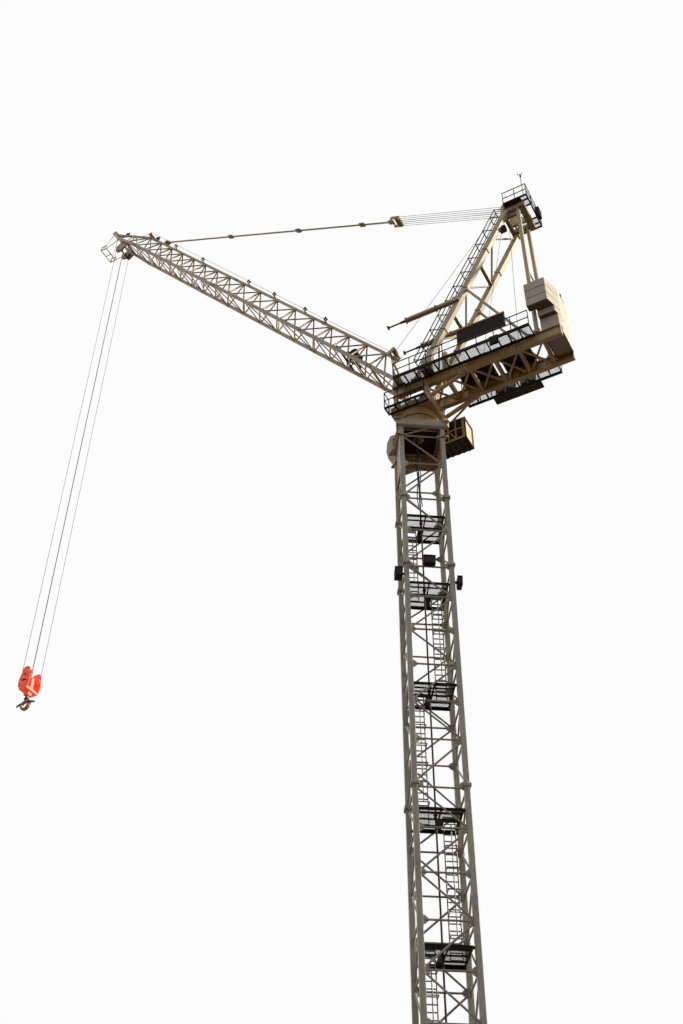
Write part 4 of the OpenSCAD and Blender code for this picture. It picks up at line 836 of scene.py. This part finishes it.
def frame_fittings():
    """Splice flanges and gussets of the frame's legs, pins of its ties, and rims of its sheaves."""
    plates, bolts = Shape(LEG_TURN), Shape(LEG_TURN)
    for e in (-1, 1):
        y = e * POST_Y
        for at in (0.285, 0.53, 0.765):
            s = at * LEG_LENGTH
            plates.box((s - 4, y - 18.5, -18.5), (s + 4, y + 18.5, 18.5))
            for dy, dn in ((-16.5, 0), (0, 16.5), (16.5, 0), (0, -16.5)):
                bolts.nut((s - 4, y + dy, dn), (-1, 0, 0), 2, 2.5)
                bolts.nut((s + 4, y + dy, dn), (1, 0, 0), 2, 2.5)
    for i in range(7):
        s, e = (0.08 + i * 0.1515) * LEG_LENGTH, -1 if i % 2 == 0 else 1
        if s < LEG_LENGTH - 40:
            corner = [(s - 30, e * 76), (s + 30, e * 76), (s + 13, e * 52), (s - 13, e * 52)]
            plates.plate(corner, -1.5, 1.5, "z")
    plates.make("frame_gussets", "upper", cream)
    bolts.make("frame_bolts", "upper", bolt_steel)

    pins = Shape()
    for e in (-1, 1):
        for x, y, z in ((-724, 78, 6078), (-726, 96, 4978)):
            for low, high, radius in ((-17, 17, 5), (-15, -13, 9), (13, 15, 9)):
                pins.rod((x + low, e * y, z), (x + high, e * y, z), radius, 16)
        pins.nut((HEAD_SHEAVE.x, e * 53, HEAD_SHEAVE.z), (0, e, 0), 9, 4)
        for dx, dz in ((-70, -96), (-30, -60), (4, -96), (0, -34)):
            pins.nut((HEAD_SHEAVE.x + dx, e * 36.2, HEAD_SHEAVE.z + dz), (0, e, 0), 2.4, 2)
    for y in LUFF_YS + (44,):
        pins.sheave_rims(HEAD_SHEAVE, y, 4.6, 20)
    pins.make("frame_pins", "upper", steel)


def head_lamps():
    """Floodlight under the frame's head, a box on the platform's rear rail, and the wind gauge's cups."""
    cases, glass = Shape(), Shape()
    cases.box((-632, 48, 5962), (-598, 78, 5996))
    cases.box((-620, 60, 5994), (-612, 68, 6040))
    for k in range(6):
        cases.box((-636, 50 + 5 * k, 5964), (-631, 51.6 + 5 * k, 5994))
    glass.box((-630, 50, 5960.6), (-600, 76, 5962.4))
    glass.box((-629, 77.6, 5964), (-601, 79, 5994))
    cases.box((-818, -72, 6118), (-796, -22, 6176))
    cases.box((-820, -74, 6176), (-794, -20, 6179))
    for k in range(5):
        cases.box((-819.4, -66 + 9 * k, 6126), (-817.6, -61 + 9 * k, 6168))
    for k in range(3):
        t = 2 * pi * k / 3 + 0.4
        x, y, z = -780 + 15 * cos(t), 122 + 15 * sin(t), 6334
        cases.rod((-780, 122, z), (x, y, z), 0.9, 6)
        turned = (x + 4 * cos(t + 1.57), y + 4 * sin(t + 1.57), z)
        cases.rod((x, y, z), turned, 1.0, 12, 4.4)
    cases.make("head_lamp_cases", "upper", black)
    glass.make("head_lamp_glass", "upper", lens)


def frame_ladder_top():
    """Upper end of the caged ladder, where it meets the head's platform."""
    ladder = Shape(LEG_TURN)
    foot, head, inner, outer = 1198, 1318, -41, -107
    for y in (23.5, 77):
        ladder.box((foot, y, inner), (head + 10, y + 3.5, inner + 4))
    for k in range(4):
        ladder.box((foot + 22 + 30 * k, 24, inner), (foot + 25 + 30 * k, 80, inner + 4))
    for x in (foot + 52, head - 4):
        ladder.box((x, 23, outer), (x + 4, 81, outer + 3.6))
        for y in (23, 77.4):
            ladder.box((x, y, outer), (x + 4, y + 3.6, inner))
    for y in (23, 50.2, 77.4):
        ladder.box((foot - 59, y, outer), (head, y + 3.6, outer + 3.4))
    ladder.make("frame_ladder_top", "upper", black)


def jib_fittings():
    """Thick front bars of the jib's sides, pinned joints of its sections, and plates at the bars' ends."""
    posts, plates, pins = Shape(JIB_TURN), Shape(JIB_TURN), Shape(JIB_TURN)
    bays = [(start + bay * k, bay) for start, count, bay in BAYS for k in range(count)]
    for s, bay in bays:
        for e in (-1, 1):
            posts.rod((s + 9, e * CHORD_Y, 0), (s + bay / 2, 0, TOP_CHORD_N), 5.6, 12)
    posts.make("jib_posts", "jib", cream)
    for s in JIB_JOINTS:
        for y, n, half in ((-CHORD_Y, 0, 9), (CHORD_Y, 0, 9), (0, TOP_CHORD_N, 7)):
            edge = half - 1
            strap = [(-22, -edge), (22, -edge), (26, 0), (22, edge), (-22, edge), (-26, 0)]
            for e in (-1, 1):
                face, outside = y + e * half, y + e * (half + 2.4)
                plates.plate([(s + ds, n + dn) for ds, dn in strap], face, outside, "y")
                for d in (-13, 13):
                    pins.nut((s + d, outside, n), (0, e, 0), 4.2, 3)
                plates.box((s - 15, y - edge, n + e * half), (s + 15, y + edge, n + e * (half + 1.8)))
    for i, (s, bay) in enumerate(bays):
        middle, at = s + bay / 2, s + 9
        top_corner = [(middle - 20, 145), (middle + 20, 145), (middle + 11, 132), (middle - 11, 132)]
        plates.plate(top_corner, -1.6, 1.6, "y")
        if i == BACKSTOP_BAY:
            continue
        for e in (-1, 1):
            side_corner = [(at - 18, 8), (at + 20, 8), (at + 9, 19), (at - 7, 19)]
            plates.plate(side_corner, e * 91 - 1.2, e * 91 + 1.2, "y")
            foot_corner = [(at - 14, e * 85.5), (at + 16, e * 85.5), (at + 6, e * 74), (at - 4, e * 74)]
            plates.plate(foot_corner, -1.2, 1.2, "z")
    plates.make("jib_plates", "jib", cream)
    pins.make("jib_pins", "jib", bolt_steel)


def jib_lamps():
    """Lamps along the jib's upper chord and two at its end."""
    lamps = Shape(JIB_TURN)
    for s in (1005, 1240, 1615, 1950, 2610, 3035):
        lamps.box((s - 7, -12, 158), (s + 7, 36, 161))
        for y in (17, 33):
            lamps.box((s - 5, y, 161), (s + 5, y + 2, 180))
        lamps.rod((s, 15, 172), (s, 37, 172), 5, 14)
    for s, n in ((3395, 158), (3800, 76)):
        lamps.box((s - 14, -16, n), (s + 14, -2, n + 26))
        lamps.box((s - 4, -14, n - 12), (s + 4, -4, n + 2))
        lamps.rod((s, -9, n + 26), (s, -9, n + 40), 5, 12, 4)
    lamps.make("jib_lamp_boxes", "jib", black)


def pendant_fittings():
    """Pins through the pendant bars' links, and rims and bolts of the luffing block."""
    turn = Matrix.Rotation(-atan2(-STAY.z, -STAY.x), 4, "Y")
    links, bars = Shape(), Shape()
    link = [(-24, -3), (-15, -7), (15, -7), (24, -3), (24, 3), (15, 7), (-15, 7), (-24, 3)]
    for t, after in zip(LINK_ENDS, LINK_ENDS[1:]):
        for y in (-3.6, 3.6):
            a, b = STAY_END + STAY * t, STAY_END + STAY * after
            bars.rod((a.x, y, a.z), (b.x, y, b.z), 2.8, 8)
    for t in LINK_ENDS:
        at = STAY_END + STAY * t
        bars.place = links.place = Matrix.Translation(at * MM) @ turn
        for y0, y1 in ((-13, -9.5), (-4.5, 4.5), (9.5, 13)):
            bars.plate(link, y0, y1, "y")
        for x in (-10, 10):
            links.rod((x, -15, 0), (x, 15, 0), 3, 12)
            for e in (-1, 1):
                links.nut((x, e * 13, 0), (0, e, 0), 4, 2)
    bars.place = JIB_TURN
    s, n = STAY_FOOT_S, TOP_CHORD_N + 7
    bars.box((s - 12, -20, n), (s + 12, 20, n + 7))
    for y in (-19, 13):
        bars.plate([(s - 10, n + 6), (s + 10, n + 6), (s + 7, n + 26), (s - 7, n + 26)], y, y + 6, "y")
    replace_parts(bars.make("pendant_links", "jib", cream), "pendant_bars")
    links.place = Matrix.Translation(LUFF_BLOCK * MM) @ turn
    rims = Shape(links.place)
    for y in LUFF_YS:
        rims.sheave_rims((0, 0, 0), y, 4.6, 18)
    rims.make("luffing_block_rims", "jib", cream)
    for e in (-1, 1):
        links.nut((0, e * 35, 0), (0, e, 0), 8, 4)
        for x in (24, 40):
            links.nut((x, e * 35, 0), (0, e, 0), 3, 2)
    links.make("pendant_pins", "jib", steel)


def tip_rims():
    """Rims and hubs of the tip sheaves."""
    rims = Shape()
    for y in (-FALL_Y, FALL_Y):
        rims.sheave_rims(TIP, y, 6.2, 38, 1.6)
        rims.rod((TIP.x, y - 8.2, TIP.z), (TIP.x, y + 8.2, TIP.z), 14, 24)
    rims.make("tip_sheave_rims", "falls", steel)


def hook_block_body():
    """Waisted side plates of the hook block, its sheaves, weights, bolts and slots."""
    block = Shape(Matrix.Translation(BLOCK * MM))
    bolts, slots = Shape(block.place), Shape(block.place)
    for y in (-FALL_Y, FALL_Y):
        block.rod((0, y - 4, 0), (0, y + 4, 0), 34, 40)
        block.sheave_rims((0, 0, 0), y, 6.2, 36.5, 2.2)
    half = [(8, 50), (18, 44), (26, 28), (25, 6), (35, -18), (38, -48), (32, -76), (18, -92)]
    side = half + [(-x, z) for x, z in reversed(half)]
    inner = [(x * 0.62, z * 0.8 - 9) for x, z in side[5:11]]
    for e in (-1, 1):
        block.plate(side, e * 43, e * 48, "y")
        block.plate(inner, e * 48, e * 49.6, "y")
        block.rod((0, e * 48, 0), (0, e * 50.5, 0), 15, 24)
        bolts.nut((0, e * 50.5, 0), (0, e, 0), 8, 4)
        for x, z in ((-17, 32), (17, 32), (0, 40), (-27, -24), (27, -24), (-29, -60), (29, -60)):
            bolts.nut((x, e * 48, z), (0, e, 0), 3, 2.2)
        slots.box((-14, e * 48, -42), (14, e * 50.2, -34))
        block.box((-36, e * 27 - 2.5, -34), (36, e * 27 + 2.5, -28))
    block.rod((0, -47, 0), (0, 47, 0), 6, 20)
    block.box((-26, -47, -92), (26, 47, -76))
    block.box((-20, -11, -80), (20, 11, -8))
    block.rings([[(-x, -y, z), (x, -y, z), (x, y, z), (-x, y, z)]
                 for x, y, z in ((18, 16, -90), (15, 13, -114))])
    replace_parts(block.make("hook_block_body", "hook_block", hook_paint), "hook_block")
    bolts.make("hook_block_bolts", "hook_block", bolt_steel)
    slots.make("hook_block_slots", "hook_block", black)


def hook_latch():
    """Latch across the hook's mouth, and the arms and collar at its shank."""
    hook = Shape(Matrix.Translation(BLOCK * MM))
    hook.plate([(-27, -158), (-21, -160), (-20, -186), (-24, -188)], -4.5, 4.5, "y")
    hook.rod((-24, -8.5, -160), (-24, 8.5, -160), 2.4, 10)
    for s in (-1, 1):
        hook.rod((s * 11, 0, -148.6), (s * 60, 0, -167.4), 5.0, 12)
    hook.rod((0, 0, -137), (0, 0, -133), 14, 24)
    hook.make("hook_latch", "hook", black)


def backstop_boots():
    """Folded rubber boots where the backstops' rods leave their sleeves."""
    boots = Shape()
    for e in (-1, 1):
        y, z = e * 102.5, 5470
        for k in range(7):
            x = -4 + 5 * k
            boots.rod((x, y, z), (x + 2.5, y, z), 6, 16, 10 - 0.5 * k)
            boots.rod((x + 2.5, y, z), (x + 5, y, z), 10 - 0.5 * k, 16, 6)
        for dy, dz in around(8, 17.5):
            boots.nut((-193, y + dy, z + dz), (-1, 0, 0), 1.6, 1.4)
        boots.rod((33, y, z), (99, y, z), 4.7, 16)
        boots.rod((98.6, y, z), (107.2, y, z), 12.4, 16)
    boots.make("backstop_boots", "upper", rubber)


floor_gratings()
mast_fittings()
mast_cables()
mast_head()
mast_lamp_fronts()
slewing_fittings()
board_trim()
winch_details()
winch_oil_tank()
jib_winch_details()
cabinet_doors()
cab_window_bars()
cabin_walls()
cab_desk()
weights()
frame_fittings()
head_lamps()
frame_ladder_top()
jib_fittings()
jib_lamps()
pendant_fittings()
tip_rims()
hook_block_body()
hook_latch()
backstop_boots()

# Name, strength, colour, spread in degrees and direction of each lamp.
LAMPS = [
    ("low_key", 4.7, (1.0, 0.90, 0.74), 5, (0.76, 0.47, -0.45)),
    ("soft_fill", 0.1, (0.9, 0.95, 1.0), 60, (-0.2, -0.7, -0.6)),
]


def choose_shader(tree, mask, usual, special, output):
    """The special shader for the rays that the mask picks, the usual one for all others."""
    choose = add_node(tree, "MixShader", {0: mask, 1: usual.outputs[0], 2: special.outputs[0]})
    feed(tree, tree.nodes[output], {"Surface": choose.outputs[0]})


def set_floor():
    """A pale floor that throws the brown light of bare ground back on the crane."""
    mesh = bpy.data.meshes.new("floor")
    mesh.from_pydata([(x, y, 0) for x, y in corners(60, 60)], [], [(0, 2, 3, 1)])
    floor = bpy.data.objects.new("floor", mesh)
    floor.location.z = -0.002
    scene.collection.objects.link(floor)
    material, tree, shader = new_material("pale floor", {"Roughness": 0.9})
    speck = ramp(tree, add_noise(tree, 3, 6), 0.3, 0.8)
    feed(tree, shader, {"Base Color": mix_colour(tree, speck, FLOOR_GREY, FLOOR_PALE)})
    ground = add_node(tree, "BsdfDiffuse", {"Color": GROUND_COLOUR})
    rays = add_node(tree, "LightPath").outputs
    bounced = math_node(tree, "SUBTRACT", rays["Is Diffuse Ray"], rays["Is Camera Ray"])
    choose_shader(tree, bounced, shader, ground, "Material Output")
    dress(floor, material)


def set_world():
    """Dim blue light all round, and white for whoever looks at it."""
    world = bpy.data.worlds.new("studio")
    scene.world = world
    world.use_nodes = True
    tree = world.node_tree
    dim = tree.nodes["Background"]
    feed(tree, dim, {"Color": SKY_COLOUR, "Strength": SKY_STRENGTH})
    white = add_node(tree, "Background", {"Color": WHITE_BACK})
    rays = add_node(tree, "LightPath").outputs
    seen = math_node(tree, "MAXIMUM", rays["Is Camera Ray"], rays["Is Transmission Ray"])
    seen = math_node(tree, "MAXIMUM", seen, rays["Is Glossy Ray"])
    choose_shader(tree, seen, dim, white, "World Output")


def set_lamps():
    """A warm sun from low behind the counterjib, and a faint soft fill."""
    for name, strength, colour, spread, towards in LAMPS:
        lamp = bpy.data.objects.new(name, bpy.data.lights.new(name, "SUN"))
        lamp.data.energy, lamp.data.angle, lamp.data.color = strength, radians(spread), colour
        lamp.rotation_euler = Vector(towards).to_track_quat("-Z", "Y").to_euler()
        scene.collection.objects.link(lamp)


set_camera()
set_floor()
set_world()
set_lamps()
scene.view_settings.view_transform = "Standard"
